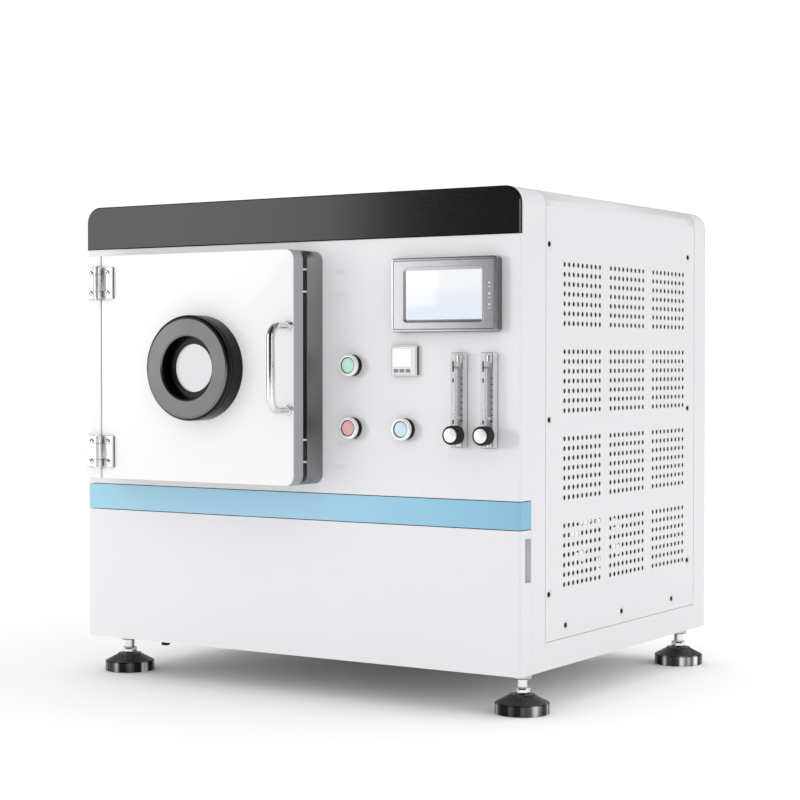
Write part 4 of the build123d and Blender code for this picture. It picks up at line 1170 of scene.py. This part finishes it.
def ribbed_grip(bm):
    """The ribbed wall with a rounded shoulder at each end."""
    loops = []
    for inset, level in ((0.9, 0.0), (0.0, 0.9), (0.0, 16.1), (0.9, 17.0)):
        ring = circle(bm, (knob_radius - inset) * mm, grip_start + level * mm, segments=2 * rib_count)
        verts = sorted({v for e in ring for v in e.verts}, key=lambda v: math.atan2(v.co.y, v.co.x))
        if inset == 0:
            bmesh.ops.scale(bm, vec=(rib_share, rib_share, 1.0), verts=verts[::2])
        loops.append(ring)
    wall(bm, loops)
    mouth = circle(bm, dish_radius * mm, grip_end - 0.03 * mm, segments=2 * rib_count)
    floor_ring = circle(bm, dish_radius * mm, grip_end - 0.8 * mm, segments=2 * rib_count)
    wall(bm, [loops[-1], mouth, floor_ring])
    bmesh.ops.holes_fill(bm, edges=loops[0])
    bmesh.ops.holes_fill(bm, edges=floor_ring)


for side in ("a", "b"):
    knob = "valve_knob_" + side
    place = middle_of(*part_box(knob))
    grip, part = bmesh.new(), bmesh.new()
    ribbed_grip(part)
    join(grip, part, on_wall(place.x, front_y, place.z))
    turned(grip, place.x, front_y, place.z, (0, 2.5), (2.9, 2.5), (2.9, 14.4), (0, 14.4), steps=24)
    finish_piece("knob_grip_" + side, grip, "black_plastic", knob, [knob], 25.0)
    bm = bmesh.new()
    turned(bm, place.x, front_y, place.z, *cap, steps=48)
    finish_piece("knob_cap_" + side, bm, "bezel_silver", knob)

# %% [markdown]
# The levelling feet are dark plated pads with flat facets round the rim and a smooth cone, a
# bright hexagon to turn them by, a rod and a nut under the frame. Facets and cone are turned
# with different numbers of steps, so the facets stay flat and the cone stays round.

# %% Levelling feet
rim = ((0, 0), (36.6, 0), (37.5, 0.9), (37.5, 14.1), (37.1, 14.8), (36.3, 15.3), (0, 15.3))
cone = ((0, 15.0), (36.1, 15.0), (36.1, 15.4), (19.0, 24.4), (18.3, 24.9), (18.0, 25.4), (17.6, 26.1),
        (17.0, 26.2), (0, 26.2))
boss = ((7.6, 46.8), (12.0, 46.8), (13.0, 47.9), (13.0, 57.9), (7.6, 57.9), (7.6, 46.8))
facets, cone_steps, rod_steps = 28, 84, 40
hex_low, hex_high, hex_radius = 26.25 * mm, 35.0 * mm, 10.97 * mm
bosses = bmesh.new()
for corner in ("front_left", "front_right", "rear_left", "rear_right"):
    place = middle_of(*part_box("foot_pad_" + corner))
    rod_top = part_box("foot_stud_" + corner)[1][2] / mm
    x, y = place.x, place.y
    pad = bmesh.new()
    upright(pad, x, y, 0.0, *rim, steps=facets)
    upright(pad, x, y, 0.0, *cone, steps=cone_steps)
    pad_piece = finish_piece("foot_cone_" + corner, pad, "black_chrome", "pad_" + corner,
                             ["foot_pad_" + corner], 10.0)
    second_finish(pad_piece, cone_chrome, lambda p: p.z > 15.32 * mm)
    rod, part = bmesh.new(), bmesh.new()
    bmesh.ops.create_cone(part, cap_ends=True, segments=6, radius1=hex_radius, radius2=hex_radius,
                          depth=hex_high - hex_low)
    round_edges(part, part.edges[:], 0.7 * mm, 3)
    join(rod, part, Matrix.Translation((x, y, (hex_low + hex_high) / 2)))
    upright(rod, x, y, 0.0, (0, 34.5), (8.6, 34.5), (8.6, 35.6), (7.2, 36.2), (7.2, rod_top - 1),
            (6.4, rod_top), (0, rod_top), steps=rod_steps)
    finish_piece("foot_rod_" + corner, rod, "polished_steel", "stud_" + corner, ["foot_stud_" + corner], 25.0)
    upright(bosses, x, y, 0.0, *boss, steps=rod_steps)
finish_piece("foot_bosses", bosses, "dark_metal", "cabinet", ["foot_nuts"])

# %% [markdown]
# A small black screw catch holds the lower cover from below, near its left end: a turned knob
# under a thin plate.

# %% Cover catch
catch = bmesh.new()
catch_x, catch_y = -245 * mm, front_y + 24 * mm
upright(catch, catch_x, catch_y, base_z - 8 * mm, (0, 0), (5.5, 0), (6.5, 1.0), (6.5, 5.0), (5.0, 5.6),
        (5.0, 8.1), (0, 8.1))
soft_block(catch, (catch_x - 9 * mm, catch_y - 7 * mm, base_z - 3 * mm),
           (catch_x + 9 * mm, catch_y + 7 * mm, base_z), 0.6 * mm)
finish_piece("cover_catch", catch, "black_plastic", "cabinet")

# %% [markdown]
# The fan at the back is covered by a wire guard: four rings and two cross wires, held by four
# screws. One small circle is spun for each ring.

# %% Fan guard
fan = middle_of(*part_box("fan_frame"))
panel_low, panel_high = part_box("rear_panel")
panel_y = panel_high[1]
guard_y = panel_y + 3.0 * mm
wire_radius, cross_length = 1.1, 2 * 71 * mm
guard = bmesh.new()
turns = [index * math.tau / 8 for index in range(9)]
for radius in (52, 41, 30, 19):
    wire = [(radius + wire_radius * math.cos(a), wire_radius * math.sin(a)) for a in turns]
    turned(guard, fan.x, guard_y, fan.z, *wire, steps=72)
for turn in (math.pi / 4, -math.pi / 4):
    part = bmesh.new()
    bmesh.ops.create_cone(part, cap_ends=True, segments=8, radius1=wire_radius * mm,
                          radius2=wire_radius * mm, depth=cross_length)
    seat = Matrix.Translation((fan.x, guard_y - wire_radius * mm, fan.z))
    join(guard, part, seat @ Matrix.Rotation(turn, 4, "Y"))
finish_piece("fan_guard", guard, "polished_steel", "cabinet")

# %% [markdown]
# The rear panel and the fan are held by socket screws: one in each corner of the panel, one in the
# middle of each edge but the fan's own, and four round the fan.

# %% Rear screws
edge, fan_hole = 12 * mm, 52.5 * mm
left, right = panel_low[0] + edge, panel_high[0] - edge
places = [(x, z) for x in (left, 0.0, right) for z in (panel_low[2] + edge, panel_high[2] - edge)]
places += [(x, (panel_low[2] + panel_high[2]) / 2) for x in (left, right)]
places += [(fan.x + x, fan.z + z) for x in (-fan_hole, fan_hole) for z in (-fan_hole, fan_hole)]
rear_screws = bmesh.new()
for x, z in places:
    seat = Matrix.Translation((x, panel_y, z)) @ Matrix.Rotation(-math.pi / 2, 4, "X")
    socket_screw(rear_screws, seat, 3.4, 2.0, 1.5)
finish_piece("rear_screws", rear_screws, "polished_steel", "cabinet")

# %% [markdown]
# The floor is a wide pale plane. It isn't part of the machine.

# %% Floor
bm = bmesh.new()
bmesh.ops.create_grid(bm, x_segments=1, y_segments=1, size=12.0)
floor_mesh = bpy.data.meshes.new("floor")
bm.to_mesh(floor_mesh)
bm.free()
floor = bpy.data.objects.new("floor", floor_mesh)
floor_mesh.materials.append(base_finish("floor_paper", (0.98, 0.98, 0.98), 0.9, Specular_IOR_Level=0.0))
scene.collection.objects.link(floor)
leave_out(stage_group, floor)
